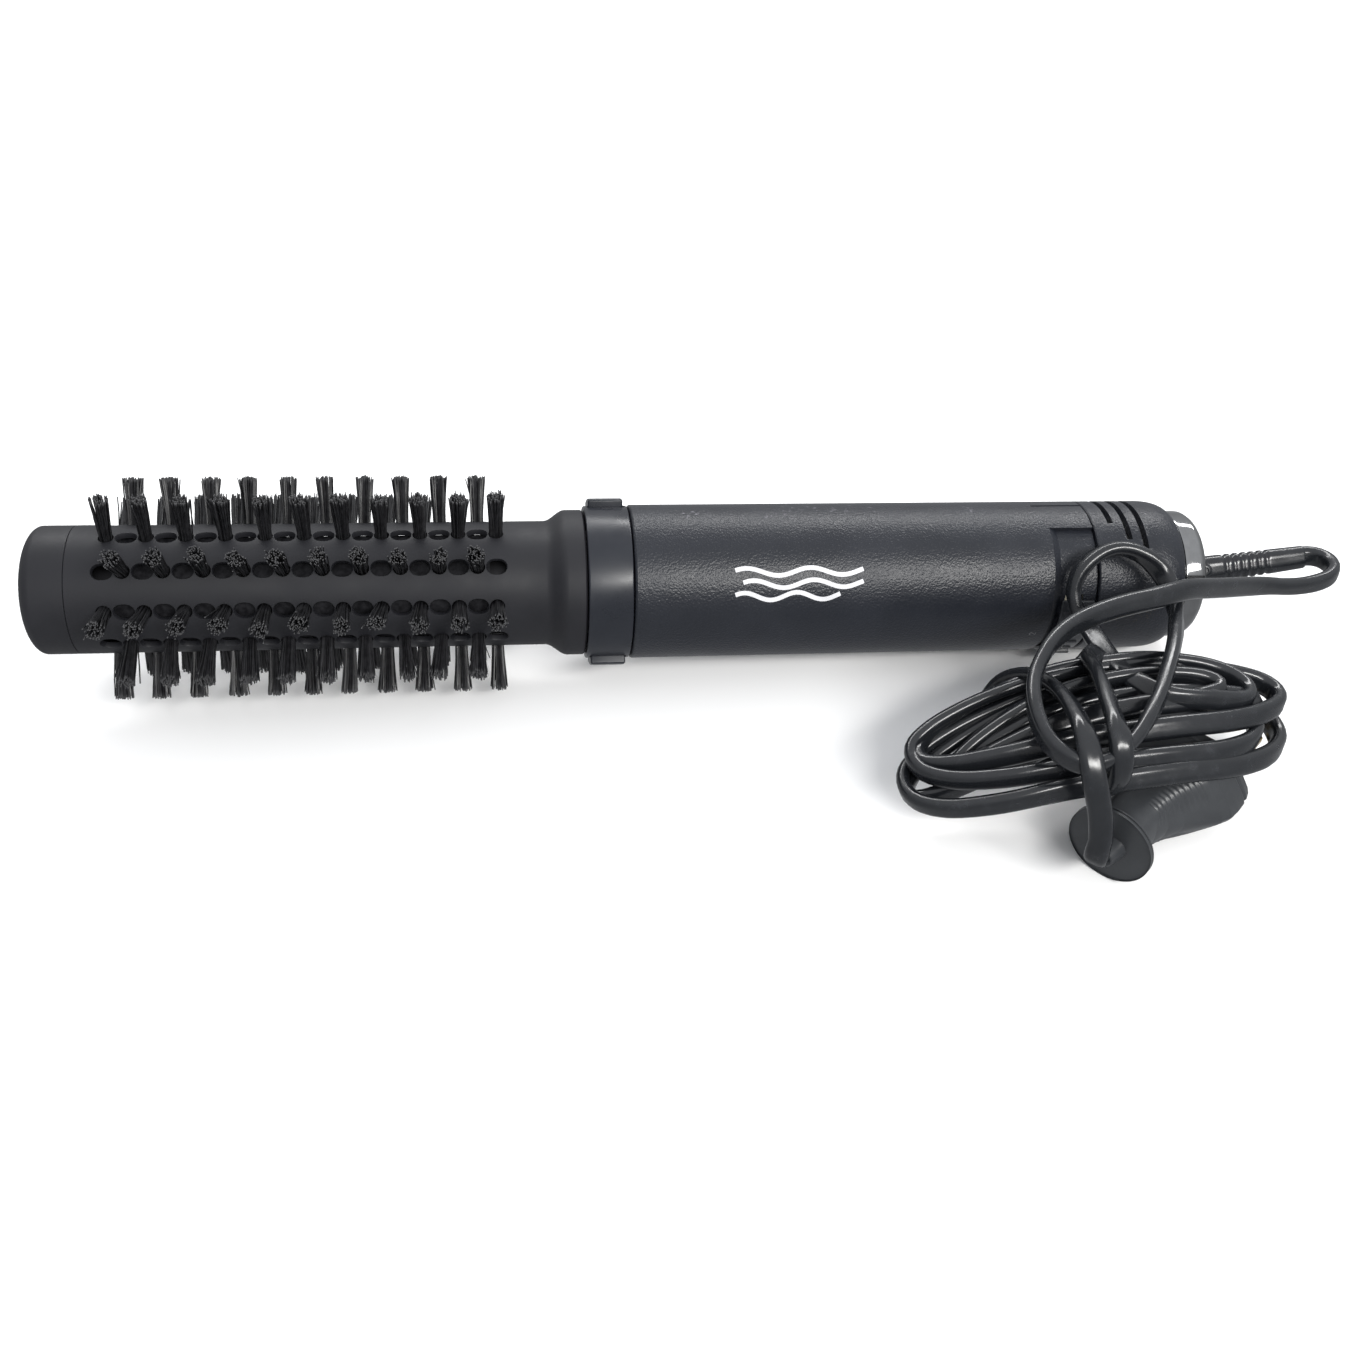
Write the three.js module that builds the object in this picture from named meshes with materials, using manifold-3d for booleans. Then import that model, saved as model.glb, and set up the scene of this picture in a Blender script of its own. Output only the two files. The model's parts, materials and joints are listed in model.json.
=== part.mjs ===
// Hot-air styling brush: a round thermal brush that slides off a cylindrical handle, with a blower,
// a heater, a slide selector and a flat twin mains cord on a swivel. Millimetres, +Z up.
// Along the styler, s runs from the brush tip to the cord end, and an angle of 0 degrees points at
// the marked front side of the handle, 90 degrees at the upper release button.
import * as THREE from 'three';
import { mergeVertices } from 'three/addons/utils/BufferGeometryUtils.js';
import Module from 'manifold-3d';

const wasm = await Module();
wasm.setup();

// ---- Driving dimensions ----
const GAP = 0.3;
const SIDES = 36;

const TIP_LENGTH = 11.5;
const TIP_ROUND = 4;
const TIP_FACE_RADIUS = 8;
const BARREL_RADIUS = 16;
const BARREL_WALL = 1.5;
const BARREL_END = 137;
const FLARE_START = 127;
const FLARE_END = 132.5;
const SKIRT_RADIUS = 18.8;
const BARREL_FACETS = 20;

const ROW_COUNT = 10;
const TUFT_PITCH = 9.4;
const FIRST_TUFT = 20.7;
const LONG_ROW = 11;
const FIRST_ROW_ANGLE = 15.2;
const TUFT_TIP_RADIUS = 28.3;
const TUFT_WIDTH = 2.4;
const VENT_LENGTH = 5.2;
const VENT_WIDTH = 3.8;
const STRIP_RADIUS = 13;
const STRIP_THICKNESS = 1;
const STRIP_WIDTH = 4;
const STRIP_OVERHANG = 3;
const GUIDE_START = 17;
const GUIDE_END = 118;
const GUIDE_SLOT_INSET = 8;
const FOIL = 0.6;

const COLLAR_START = 137.3;
const COLLAR_END = 148.5;
const COLLAR_RADIUS = 19.8;
const COLLAR_WALL = 2.2;
const BUTTON_LENGTH = 9;
const BUTTON_ANGLE = 27;
const BUTTON_PROUD = 1.9;
const BUTTON_FLOOR = 16;
const SPRING_RADIUS = 1.6;
const SPRING_FLOOR = 13.6;
const SPRING_WIRE = 0.25;
const SPRING_TURNS = 2;

const HANDLE_RADIUS = 20;
const HANDLE_WALL = 2.2;
const HANDLE_END = 270;
const RECESS_START = 258;
const RECESS_DEPTH = 1.3;
const RECESS_TOP_ANGLE = 38;
const RECESS_LOW_ANGLE = -124;
const SLIDER_TOP_ANGLE = -20;
const SLIDER_LOW_ANGLE = -118;
const SLIDER_RIDGE_ANGLE = -86;
const SLIDER_STEM_ANGLE = -60;
const SLIDER_TRAVEL = 36;
const STEM_START = 262;
const STEM_END = 266;
const STEM_FLOOR = 15.2;

const REAR_START = 270.3;
const REAR_END = 295;
const SHOULDER_RADIUS = 17.2;
const SHOULDER_ROUND = 7;
const RING_END = 301.5;
const LOUVRE_WIDTH = 1.6;
const LOUVRES = [[275.2, 48], [279.3, 63], [283.4, 71]];
const SCREEN_START = 272;
const SCREEN_END = 287;

const NOZZLE_START = 121;
const NOZZLE_RADIUS = 13.9;
const NOZZLE_WALL = 1.2;
const GRILLE_START = 123;
const GRILLE_END = 125;
const MOTOR_START = 214;
const MOTOR_LENGTH = 30;
const MOTOR_RADIUS = 11;
const FAN_START = 198;
const FAN_LENGTH = 11;
const FAN_RADIUS = 15;
const SHAFT_RADIUS = 1.2;
const HEATER_START = 156;
const HEATER_END = 191;
const HEATER_HALF = 11;
const COIL_RADIUS = 11.9;
const COIL_TURNS = 6;
const COIL_WIRE = 0.45;
const SHIELD_RADIUS = 16.6;
const SHIELD_START = 152;
const SHIELD_END = 195;
const SWITCH_START = 259.5;
const SWITCH_END = 268.5;
const SWITCH_WIDTH = 9;
const SWITCH_FLOOR = 8.8;
const SWITCH_TOP = 13.8;
const BOARD_START = 247;
const BOARD_END = 285;
const BOARD_WIDTH = 24;
const BOARD_FLOOR = 3.5;
const BOARD_THICKNESS = 1.6;
const BOARD_PART_TOP = 11;
const BOARD_ANGLE = 138;

const SWIVEL_RADIUS = 5.5;
const SOCKET_RADIUS = 14.3;
const DRUM_RADIUS = 7.5;
const RELIEF_START = 302.3;
const RELIEF_LENGTH = 36;
const RELIEF_LIFT = 6.5;
const RELIEF_WIDTH = 8.2;
const RELIEF_TAPER = 1.8;
const RELIEF_THICKNESS = 5.2;
const RIB_COUNT = 6;
const RIB_PITCH = 2.4;
const FIRST_RIB = 11;

const ROLL = -38;

// The cord, in the standing frame: a flat twin cable, drawn here as a round tube.
const CORD_RADIUS = 2.5;
const CORD_STEP = 9;
const LEAD_ROUTE = [
  [170.3, 2.6, 21], [173, 1.7, 21.3], [174.7, -1.6, 21.6], [174.3, -5.6, 22], [170.6, -9.3, 22],
  [161.1, -12.4, 22.6], [148.3, -15, 25.5], [130.7, -23.8, 33], [116, -31.9, 39.7], [106.2, -36.5, 41.5],
  [96.4, -39.4, 42], [88, -42.5, 42], [80.6, -46.2, 41.5], [74.5, -51.4, 40.5], [70.4, -56.9, 39],
  [67.3, -64.5, 38], [66.4, -71, 37],
];
const LOOP_ROUTE = [
  [97.2, -66.2, 36.5], [103, -56.9, 36.5], [109.3, -45.5, 36], [115.6, -30.9, 33.8], [116.1, -22.9, 35.5],
  [112, -18.9, 39.5], [104.6, -16.5, 42], [97.1, -17.7, 40.5], [92.9, -19.9, 36], [92.1, -22.8, 31.5],
  [93.7, -26.1, 28.5], [94.7, -36.3, 28],
];
const TAIL_ROUTE = [
  [75.2, -71.3, 38], [74.4, -81.5, 38.6], [75.1, -87.8, 33], [77.6, -89.9, 24.5], [78.6, -91.9, 17.5],
  [78.2, -92.7, 12.8], [78.6, -92.1, 10.8], [79.6, -91.2, 10.4],
];
const HANK_LEFT = [56.5, -58];
const HANK_RIGHT = [121, -60];
const HANK_HALF_WIDTH = 20;
const HANK_SIDE = [
  [32.7, 0.2], [64.7, 0.2], [80.7, 22.8], [124, 22.8], [135, 13.2], [144.7, 10], [144.7, 27], [91.7, 33],
  [56.7, 20], [32.7, 16],
];

// The plug lies on the floor under the right half of the hank. Its length runs along its own x.
const PLUG_PLACE = [83.5, -87.7, 10.4];
const PLUG_TURN = 42;
const FLANGE_RADIUS = 10.3;
const FLANGE_THICKNESS = 2.6;
const PLUG_HALF_HEIGHT = 10.2;
const PLUG_LENGTH = 39;
const PIN_RADIUS = 2;
const PIN_LENGTH = 19;
const PIN_SPACING = 19;
// Half-widths of the plug along its length: seen from above, and seen from the side.
const PLUG_PLAN = [
  [1, 7.4], [9, 7.5], [13, 8.2], [18, 11], [23, 14.8], [27.5, 18], [34, 18.3], [PLUG_LENGTH, 16.6],
];
const PLUG_SIDE = [[1, 6.5], [10, 7.2], [20, PLUG_HALF_HEIGHT], [PLUG_LENGTH, PLUG_HALF_HEIGHT]];
const PLUG_FRONT = [[-18.4, 1], [-10, PLUG_HALF_HEIGHT], [10, PLUG_HALF_HEIGHT], [18.4, 1]];
const BOOT_LENGTH = 5;

// ---- Colours ----
const BLACK = { color: 0x303236, roughness: 0.6, metalness: 0 };
const SATIN = { color: 0x34373c, roughness: 0.45, metalness: 0 };
const GLOSS = { color: 0x232529, roughness: 0.25, metalness: 0 };
const BRISTLE = { color: 0x1b1b1d, roughness: 0.5, metalness: 0 };
const CHROME = { color: 0xc8cace, roughness: 0.08, metalness: 1 };
const ALUMINIUM = { color: 0xa9abad, roughness: 0.35, metalness: 1 };
const STEEL = { color: 0x9a9c9f, roughness: 0.3, metalness: 1 };
const BRASS = { color: 0xb8a16a, roughness: 0.25, metalness: 1 };
const MICA = { color: 0xc9b78c, roughness: 0.6, metalness: 0 };
const NICHROME = { color: 0x77716a, roughness: 0.4, metalness: 1 };
const BOARD = { color: 0x6b4a1f, roughness: 0.6, metalness: 0 };
const IVORY = { color: 0xd8d2c0, roughness: 0.5, metalness: 0 };
const RUBBER = { color: 0x1e1f22, roughness: 0.35, metalness: 0 };

// ---- Helpers ----
const radians = (degrees) => degrees * Math.PI / 180;

function toSolid(geometry) {
  const bare = geometry.clone();
  bare.deleteAttribute('normal');
  bare.deleteAttribute('uv');
  const merged = mergeVertices(bare.index ? bare.toNonIndexed() : bare, 1e-4);
  const index = merged.index.array;
  const triVerts = [];
  for (let i = 0; i < index.length; i += 3) {
    const [a, b, c] = [index[i], index[i + 1], index[i + 2]];
    if (a !== b && b !== c && c !== a) triVerts.push(a, b, c);
  }
  return new wasm.Manifold(new wasm.Mesh({
    numProp: 3,
    vertProperties: new Float32Array(merged.attributes.position.array),
    triVerts: new Uint32Array(triVerts),
  }));
}

function toGeometry(solid) {
  const mesh = solid.getMesh();
  const geometry = new THREE.BufferGeometry();
  geometry.setAttribute('position', new THREE.BufferAttribute(new Float32Array(mesh.vertProperties), 3));
  geometry.setIndex(new THREE.BufferAttribute(new Uint32Array(mesh.triVerts), 1));
  return geometry;
}

function joined(first, ...others) {
  return others.reduce((sum, other) => sum.add(toSolid(other)), toSolid(first));
}

function cut(first, ...tools) {
  return tools.reduce((rest, tool) => rest.subtract(toSolid(tool)), toSolid(first));
}

// A closed outline of [s, radius] points, turned round the styler's axis.
function turned(outline, sides = SIDES) {
  const points = outline.map(([s, radius]) => new THREE.Vector2(radius, s));
  const geometry = new THREE.LatheGeometry(points, sides);
  geometry.rotateZ(-Math.PI / 2);
  return geometry;
}

function tube(start, end, outer, wall, sides = SIDES) {
  return turned([
    [start, outer - wall], [start, outer], [end, outer], [end, outer - wall], [start, outer - wall],
  ], sides);
}

function rod(start, end, radius, sides = 16) {
  const geometry = new THREE.CylinderGeometry(radius, radius, end - start, sides);
  geometry.rotateZ(-Math.PI / 2);
  geometry.translate((start + end) / 2, 0, 0);
  return geometry;
}

// A flat shape drawn across the axis, (y, z), and extruded along it from start to end.
function across(shape, start, end, curveSegments = 8) {
  const geometry = new THREE.ExtrudeGeometry(shape, { depth: end - start, bevelEnabled: false, curveSegments });
  const [x, y, z] = [new THREE.Vector3(1, 0, 0), new THREE.Vector3(0, 1, 0), new THREE.Vector3(0, 0, 1)];
  geometry.applyMatrix4(new THREE.Matrix4().makeBasis(y, z, x));
  geometry.translate(start, 0, 0);
  return geometry;
}

// A block between two radii and two angles round the axis, and between two places along it.
function sector(inner, outer, lowAngle, highAngle, start, end, steps = 8) {
  const shape = new THREE.Shape();
  const corner = (radius, i) => {
    const angle = radians(lowAngle + (highAngle - lowAngle) * i / steps);
    return [-radius * Math.cos(angle), radius * Math.sin(angle)];
  };
  shape.moveTo(...corner(outer, 0));
  for (let i = 1; i <= steps; i += 1) shape.lineTo(...corner(outer, i));
  for (let i = steps; i >= 0; i -= 1) shape.lineTo(...corner(inner, i));
  return across(shape, start, end);
}

// A piece drawn on the front side (angle 0) with its outward direction along -Y, turned to an angle.
function turnedTo(geometry, angle) {
  geometry.rotateX(radians(-angle));
  return geometry;
}

function block(start, end, innerRadius, outerRadius, width) {
  const geometry = new THREE.BoxGeometry(end - start, outerRadius - innerRadius, width);
  geometry.translate((start + end) / 2, -(innerRadius + outerRadius) / 2, 0);
  return geometry;
}

function addMesh(parent, name, shape, finish) {
  const geometry = shape.isBufferGeometry ? shape : toGeometry(shape);
  const mesh = new THREE.Mesh(geometry, new THREE.MeshStandardMaterial(finish));
  mesh.name = name;
  parent.add(mesh);
  return mesh;
}

const rowAngle = (row) => FIRST_ROW_ANGLE + row * 360 / ROW_COUNT;
const isLongRow = (row) => row % 2 === 1;
const tuftPlaces = (row) => {
  const count = isLongRow(row) ? LONG_ROW : LONG_ROW - 1;
  const first = FIRST_TUFT + (isLongRow(row) ? 0 : TUFT_PITCH / 2);
  return Array.from({ length: count }, (_, i) => first + i * TUFT_PITCH);
};
const ventPlaces = (row) => {
  const count = isLongRow(row) ? LONG_ROW - 1 : LONG_ROW;
  const first = FIRST_TUFT + (isLongRow(row) ? TUFT_PITCH / 2 : 0);
  return Array.from({ length: count }, (_, i) => first + i * TUFT_PITCH);
};

// ---- Brush attachment ----
// A quarter of an ellipse, from the flat face in the middle of the tip to its straight side.
function tipRound() {
  const steps = 6;
  return Array.from({ length: steps + 1 }, (_, i) => {
    const turn = radians((90 * i) / steps);
    const radius = TIP_FACE_RADIUS + (BARREL_RADIUS - TIP_FACE_RADIUS) * Math.sin(turn);
    return [TIP_ROUND * (1 - Math.cos(turn)), radius];
  });
}

function tipCap() {
  const wall = 1.6;
  const plugRadius = BARREL_RADIUS - BARREL_WALL - GAP;
  const outline = [
    [0, 0], ...tipRound(), [TIP_LENGTH, BARREL_RADIUS], [TIP_LENGTH, plugRadius], [TIP_LENGTH + 4, plugRadius],
    [TIP_LENGTH + 4, plugRadius - wall], [wall, plugRadius - wall], [wall, 0],
  ];
  return turned(outline);
}

function ventCutter(place, angle) {
  const half = VENT_LENGTH / 2;
  const side = VENT_WIDTH / 2;
  const shape = new THREE.Shape();
  shape.moveTo(-half, 0);
  shape.lineTo(-half + side * 0.8, -side);
  shape.lineTo(half - side * 0.8, -side);
  shape.lineTo(half, 0);
  shape.lineTo(half - side * 0.8, side);
  shape.lineTo(-half + side * 0.8, side);
  const depth = 6;
  const geometry = new THREE.ExtrudeGeometry(shape, { depth, bevelEnabled: false });
  geometry.rotateX(Math.PI / 2);
  geometry.translate(place, -(BARREL_RADIUS - depth / 2 - 0.5), 0);
  return turnedTo(geometry, angle);
}

function tuftCutter(place, angle) {
  const half = TUFT_WIDTH / 2 + GAP;
  return turnedTo(block(place - half, place + half, BARREL_RADIUS - 3, BARREL_RADIUS + 1, 2 * half), angle);
}

function brushBarrel() {
  const inner = BARREL_RADIUS - BARREL_WALL;
  const start = TIP_LENGTH + GAP;
  const shell = turned([
    [start, inner], [start, BARREL_RADIUS], [FLARE_START, BARREL_RADIUS], [FLARE_END, SKIRT_RADIUS],
    [BARREL_END, SKIRT_RADIUS], [BARREL_END, SKIRT_RADIUS - BARREL_WALL],
    [FLARE_END, SKIRT_RADIUS - BARREL_WALL],
    [FLARE_START + 1, inner], [start, inner],
  ], BARREL_FACETS);
  turnedTo(shell, FIRST_ROW_ANGLE - 180 / BARREL_FACETS);
  const cutters = [];
  for (let row = 0; row < ROW_COUNT; row += 1) {
    for (const place of ventPlaces(row)) cutters.push(ventCutter(place, rowAngle(row)));
    for (const place of tuftPlaces(row)) cutters.push(tuftCutter(place, rowAngle(row)));
  }
  return cut(shell, ...cutters);
}

function bristleRow(row) {
  const places = tuftPlaces(row);
  const half = TUFT_WIDTH / 2;
  const foot = STRIP_RADIUS + STRIP_THICKNESS;
  const [start, end] = [places[0] - STRIP_OVERHANG, places.at(-1) + STRIP_OVERHANG];
  const strip = block(start, end, STRIP_RADIUS, foot, STRIP_WIDTH);
  const tufts = places.map((place) => {
    return block(place - half, place + half, STRIP_RADIUS + STRIP_THICKNESS / 2, TUFT_TIP_RADIUS, TUFT_WIDTH);
  });
  const solid = joined(strip, ...tufts);
  return turnedTo(toGeometry(solid), rowAngle(row));
}

function airGuide() {
  const radius = STRIP_RADIUS - GAP;
  const [start, end] = [GUIDE_START + GUIDE_SLOT_INSET, GUIDE_END - GUIDE_SLOT_INSET];
  const slots = [];
  for (let row = 0; row < ROW_COUNT; row += 2) {
    slots.push(turnedTo(block(start, end, radius - 2, radius + 2, STRIP_WIDTH), rowAngle(row)));
  }
  return cut(tube(GUIDE_START, GUIDE_END, radius, FOIL, BARREL_FACETS), ...slots);
}

// ---- Release collar ----
function collar() {
  const windowHalf = BUTTON_ANGLE / 2 + 2.2;
  const middle = (COLLAR_START + COLLAR_END) / 2;
  const halfLength = BUTTON_LENGTH / 2 + GAP;
  const windows = [90, -90].map((angle) => {
    return sector(14, 22, angle - windowHalf, angle + windowHalf, middle - halfLength, middle + halfLength, 3);
  });
  return cut(tube(COLLAR_START, COLLAR_END, COLLAR_RADIUS, COLLAR_WALL), ...windows);
}

function releaseButton(angle) {
  const middle = (COLLAR_START + COLLAR_END) / 2;
  const top = COLLAR_RADIUS + BUTTON_PROUD;
  const half = BUTTON_ANGLE / 2;
  const wide = BUTTON_LENGTH / 2;
  const inset = 1;
  const [start, end] = [middle - wide, middle + wide];
  const [low, high] = [angle - half, angle + half];
  const body = sector(BUTTON_FLOOR, top - 0.9, low, high, start, end, 4);
  const crown = sector(top - 1.2, top, low + 2.5, high - 2.5, start + inset, end - inset, 4);
  return joined(body, crown);
}

class SpringPath extends THREE.Curve {
  constructor(place, inner, outer, radius, turns) {
    super();
    Object.assign(this, { place, inner, outer, radius, turns });
  }

  getPoint(t, target = new THREE.Vector3()) {
    const angle = 2 * Math.PI * this.turns * t;
    const height = this.inner + (this.outer - this.inner) * t;
    return target.set(this.place + this.radius * Math.cos(angle), -height, this.radius * Math.sin(angle));
  }
}

function ringShape(radius, sides) {
  const shape = new THREE.Shape();
  for (let i = 0; i < sides; i += 1) {
    const angle = 2 * Math.PI * i / sides;
    const point = [radius * Math.cos(angle), radius * Math.sin(angle)];
    if (i === 0) shape.moveTo(...point);
    else shape.lineTo(...point);
  }
  return shape;
}

function buttonSpring(angle) {
  const middle = (COLLAR_START + COLLAR_END) / 2;
  const [inner, outer] = [SPRING_FLOOR + SPRING_WIRE + GAP, BUTTON_FLOOR - SPRING_WIRE - GAP];
  const path = new SpringPath(middle, inner, outer, SPRING_RADIUS, SPRING_TURNS);
  const options = { steps: 10 * SPRING_TURNS, extrudePath: path, bevelEnabled: false };
  return turnedTo(new THREE.ExtrudeGeometry(ringShape(SPRING_WIRE, 5), options), angle);
}

// ---- Handle ----
function outletNozzle() {
  const inner = NOZZLE_RADIUS - NOZZLE_WALL;
  const flange = HANDLE_RADIUS - HANDLE_WALL - GAP;
  const flangeStart = COLLAR_END + GAP;
  return turned([
    [NOZZLE_START, inner], [NOZZLE_START, NOZZLE_RADIUS - 0.8], [NOZZLE_START + 1.5, NOZZLE_RADIUS - 0.5],
    [flangeStart, NOZZLE_RADIUS - 0.5], [flangeStart, flange], [flangeStart + 2, flange],
    [flangeStart + 2, inner], [NOZZLE_START, inner],
  ], 24);
}

function outletGrille() {
  const outer = NOZZLE_RADIUS - NOZZLE_WALL - GAP;
  const rings = [tube(GRILLE_START, GRILLE_END, outer, 1.2, 12), tube(GRILLE_START, GRILLE_END, 6, 1, 8)];
  const spokes = [0, 90].map((angle) => {
    const spoke = new THREE.BoxGeometry(1.6, 2 * outer - 1, 1);
    spoke.translate((GRILLE_START + GRILLE_END) / 2, 0, 0);
    return turnedTo(spoke, angle);
  });
  return joined(...rings, ...spokes);
}

function handleShell() {
  const inner = HANDLE_RADIUS - HANDLE_WALL;
  const start = COLLAR_END + GAP;
  const rim = 0.5;
  const shell = turned([
    [start, inner], [start, HANDLE_RADIUS - rim], [start + rim, HANDLE_RADIUS],
    [HANDLE_END, HANDLE_RADIUS], [HANDLE_END, inner], [start, inner],
  ], 40);
  const recessFloor = HANDLE_RADIUS - RECESS_DEPTH;
  const recess = sector(recessFloor, HANDLE_RADIUS + 1, RECESS_LOW_ANGLE, RECESS_TOP_ANGLE,
    RECESS_START, HANDLE_END + 1, 20);
  const slotMargin = 8;
  const slot = sector(inner - 1, HANDLE_RADIUS, SLIDER_STEM_ANGLE - slotMargin,
    SLIDER_STEM_ANGLE + SLIDER_TRAVEL + slotMargin, STEM_START - 0.5, STEM_END + 0.5, 6);
  return cut(shell, recess, slot);
}

function selectorSlider() {
  const floor = HANDLE_RADIUS - RECESS_DEPTH + GAP;
  const crown = HANDLE_RADIUS + 0.1;
  const [start, end] = [RECESS_START + 0.6, HANDLE_END - 0.6];
  const band = sector(floor, crown, SLIDER_LOW_ANGLE, SLIDER_TOP_ANGLE, start, end, 14);
  const ridge = sector(crown - 0.2, crown + 1.2, SLIDER_RIDGE_ANGLE - 3, SLIDER_RIDGE_ANGLE + 3, start, end, 2);
  const [stemLow, stemHigh] = [SLIDER_STEM_ANGLE - 5, SLIDER_STEM_ANGLE + 5];
  const stem = sector(STEM_FLOOR, floor + 0.5, stemLow, stemHigh, STEM_START, STEM_END, 2);
  return joined(band, ridge, stem);
}

function rearHousing() {
  const inner = HANDLE_RADIUS - HANDLE_WALL;
  const outline = [[REAR_START, inner], [REAR_START, HANDLE_RADIUS]];
  const drop = HANDLE_RADIUS - SHOULDER_RADIUS;
  for (let i = 0; i <= 4; i += 1) {
    const turn = i / 4 * Math.PI / 2;
    const place = REAR_END - SHOULDER_ROUND * (1 - Math.sin(turn));
    outline.push([place, HANDLE_RADIUS - drop * (1 - Math.cos(turn))]);
  }
  const floor = REAR_END - 2;
  outline.push([REAR_END, 9], [floor, 9], [floor, inner - 2.5], [floor - 4, inner], [REAR_START, inner]);
  const slots = LOUVRES.map(([place, reach]) => {
    const [start, end] = [place - LOUVRE_WIDTH / 2, place + LOUVRE_WIDTH / 2];
    return sector(inner - 1, HANDLE_RADIUS + 1, 90 - reach, 90 + reach, start, end, 8);
  });
  return cut(turned(outline, 32), ...slots);
}

function intakeScreen() {
  return tube(SCREEN_START, SCREEN_END, HANDLE_RADIUS - HANDLE_WALL - GAP, FOIL, 24);
}

function chromeRing() {
  const inner = SOCKET_RADIUS + GAP;
  return turned([
    [REAR_END + GAP, inner], [REAR_END + GAP, SHOULDER_RADIUS], [RING_END - 1, SHOULDER_RADIUS],
    [RING_END, SHOULDER_RADIUS - 0.7], [RING_END, inner], [REAR_END + GAP, inner],
  ]);
}

function swivelSocket() {
  return turned([
    [REAR_END + GAP, SWIVEL_RADIUS + GAP], [REAR_END + GAP, SOCKET_RADIUS], [RING_END - 0.8, SOCKET_RADIUS],
    [RING_END - 2.2, SWIVEL_RADIUS + GAP], [REAR_END + GAP, SWIVEL_RADIUS + GAP],
  ], 24);
}

function swivelDrum() {
  return turned([
    [REAR_END - 5, 0], [REAR_END - 5, DRUM_RADIUS], [REAR_END - 2.3, DRUM_RADIUS],
    [REAR_END - 2.3, SWIVEL_RADIUS],
    [RING_END, SWIVEL_RADIUS], [RING_END + 0.5, SWIVEL_RADIUS - 0.5], [RING_END + 0.5, 0],
  ], 20);
}

function strainRelief() {
  const shape = new THREE.Shape();
  const end = RELIEF_START + RELIEF_LENGTH;
  const widthAt = (s) => (RELIEF_WIDTH - RELIEF_TAPER * (s - RELIEF_START) / RELIEF_LENGTH) / 2;
  const edge = [[RELIEF_START, 3.6], [RELIEF_START + 1, widthAt(RELIEF_START)]];
  for (let i = 0; i < RIB_COUNT; i += 1) {
    const rib = RELIEF_START + FIRST_RIB + i * RIB_PITCH;
    edge.push([rib, widthAt(rib)], [rib + 0.2, widthAt(rib) - 0.5]);
    edge.push([rib + 1, widthAt(rib) - 0.5], [rib + 1.2, widthAt(rib)]);
  }
  edge.push([end - 1, widthAt(end)], [end, widthAt(end) - 0.5]);
  edge.forEach(([s, z], i) => (i === 0 ? shape.moveTo(s, z) : shape.lineTo(s, z)));
  edge.toReversed().forEach(([s, z]) => shape.lineTo(s, -z));
  const geometry = new THREE.ExtrudeGeometry(shape, { depth: RELIEF_THICKNESS, bevelEnabled: false });
  geometry.rotateX(Math.PI / 2);
  geometry.translate(-RELIEF_START, RELIEF_THICKNESS / 2, 0);
  geometry.rotateY(-radians(RELIEF_LIFT));
  geometry.translate(RELIEF_START + 0.6, 0, 0);
  return geometry;
}

// ---- Inside the handle ----
function fanImpeller() {
  const hub = tube(FAN_START, FAN_START + FAN_LENGTH, 4.5, 4.5 - SHAFT_RADIUS - GAP, 16);
  const blades = [];
  const bladeCount = 7;
  for (let i = 0; i < bladeCount; i += 1) {
    const blade = new THREE.BoxGeometry(FAN_LENGTH - 2, FAN_RADIUS - 4, 0.9);
    blade.rotateY(radians(38));
    blade.translate(FAN_START + FAN_LENGTH / 2, -(FAN_RADIUS + 4) / 2, 0);
    blades.push(turnedTo(blade, i * 360 / bladeCount));
  }
  return joined(hub, ...blades);
}

function motorCan() {
  const end = MOTOR_START + MOTOR_LENGTH;
  return turned([
    [MOTOR_START, SHAFT_RADIUS + GAP], [MOTOR_START, MOTOR_RADIUS - 1], [MOTOR_START + 1, MOTOR_RADIUS],
    [end - 1, MOTOR_RADIUS], [end, MOTOR_RADIUS - 1], [end, SHAFT_RADIUS + GAP],
    [MOTOR_START, SHAFT_RADIUS + GAP],
  ], 24);
}

function motorMount() {
  const [start, end] = [MOTOR_START + 8, MOTOR_START + 16];
  const outer = HANDLE_RADIUS - HANDLE_WALL - GAP;
  const rings = [tube(start, end, outer, 1.2, 24), tube(start, end, MOTOR_RADIUS + GAP + 1.2, 1.2, 24)];
  const ribs = [0, 90, 180, 270].map((angle) => {
    return turnedTo(block(start, end, MOTOR_RADIUS + GAP + 0.5, outer - 0.5, 1.4), angle);
  });
  return joined(...rings, ...ribs);
}

function heaterFormer() {
  const plates = [0, 90].map((angle) => {
    const plate = new THREE.BoxGeometry(HEATER_END - HEATER_START, 2 * HEATER_HALF, 0.8);
    plate.translate((HEATER_START + HEATER_END) / 2, 0, 0);
    return turnedTo(plate, angle);
  });
  return joined(...plates);
}

class CoilPath extends THREE.Curve {
  getPoint(t, target = new THREE.Vector3()) {
    const angle = 2 * Math.PI * COIL_TURNS * t;
    const place = HEATER_START + 2 + (HEATER_END - HEATER_START - 4) * t;
    return target.set(place, COIL_RADIUS * Math.cos(angle), COIL_RADIUS * Math.sin(angle));
  }
}

function heaterCoil() {
  const options = { steps: COIL_TURNS * 12, extrudePath: new CoilPath(), bevelEnabled: false };
  return new THREE.ExtrudeGeometry(ringShape(COIL_WIRE, 4), options);
}

function slideSwitch() {
  const body = block(SWITCH_START, SWITCH_END, SWITCH_FLOOR, SWITCH_TOP, SWITCH_WIDTH);
  return turnedTo(body, SLIDER_STEM_ANGLE + SLIDER_TRAVEL / 2);
}

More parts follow.
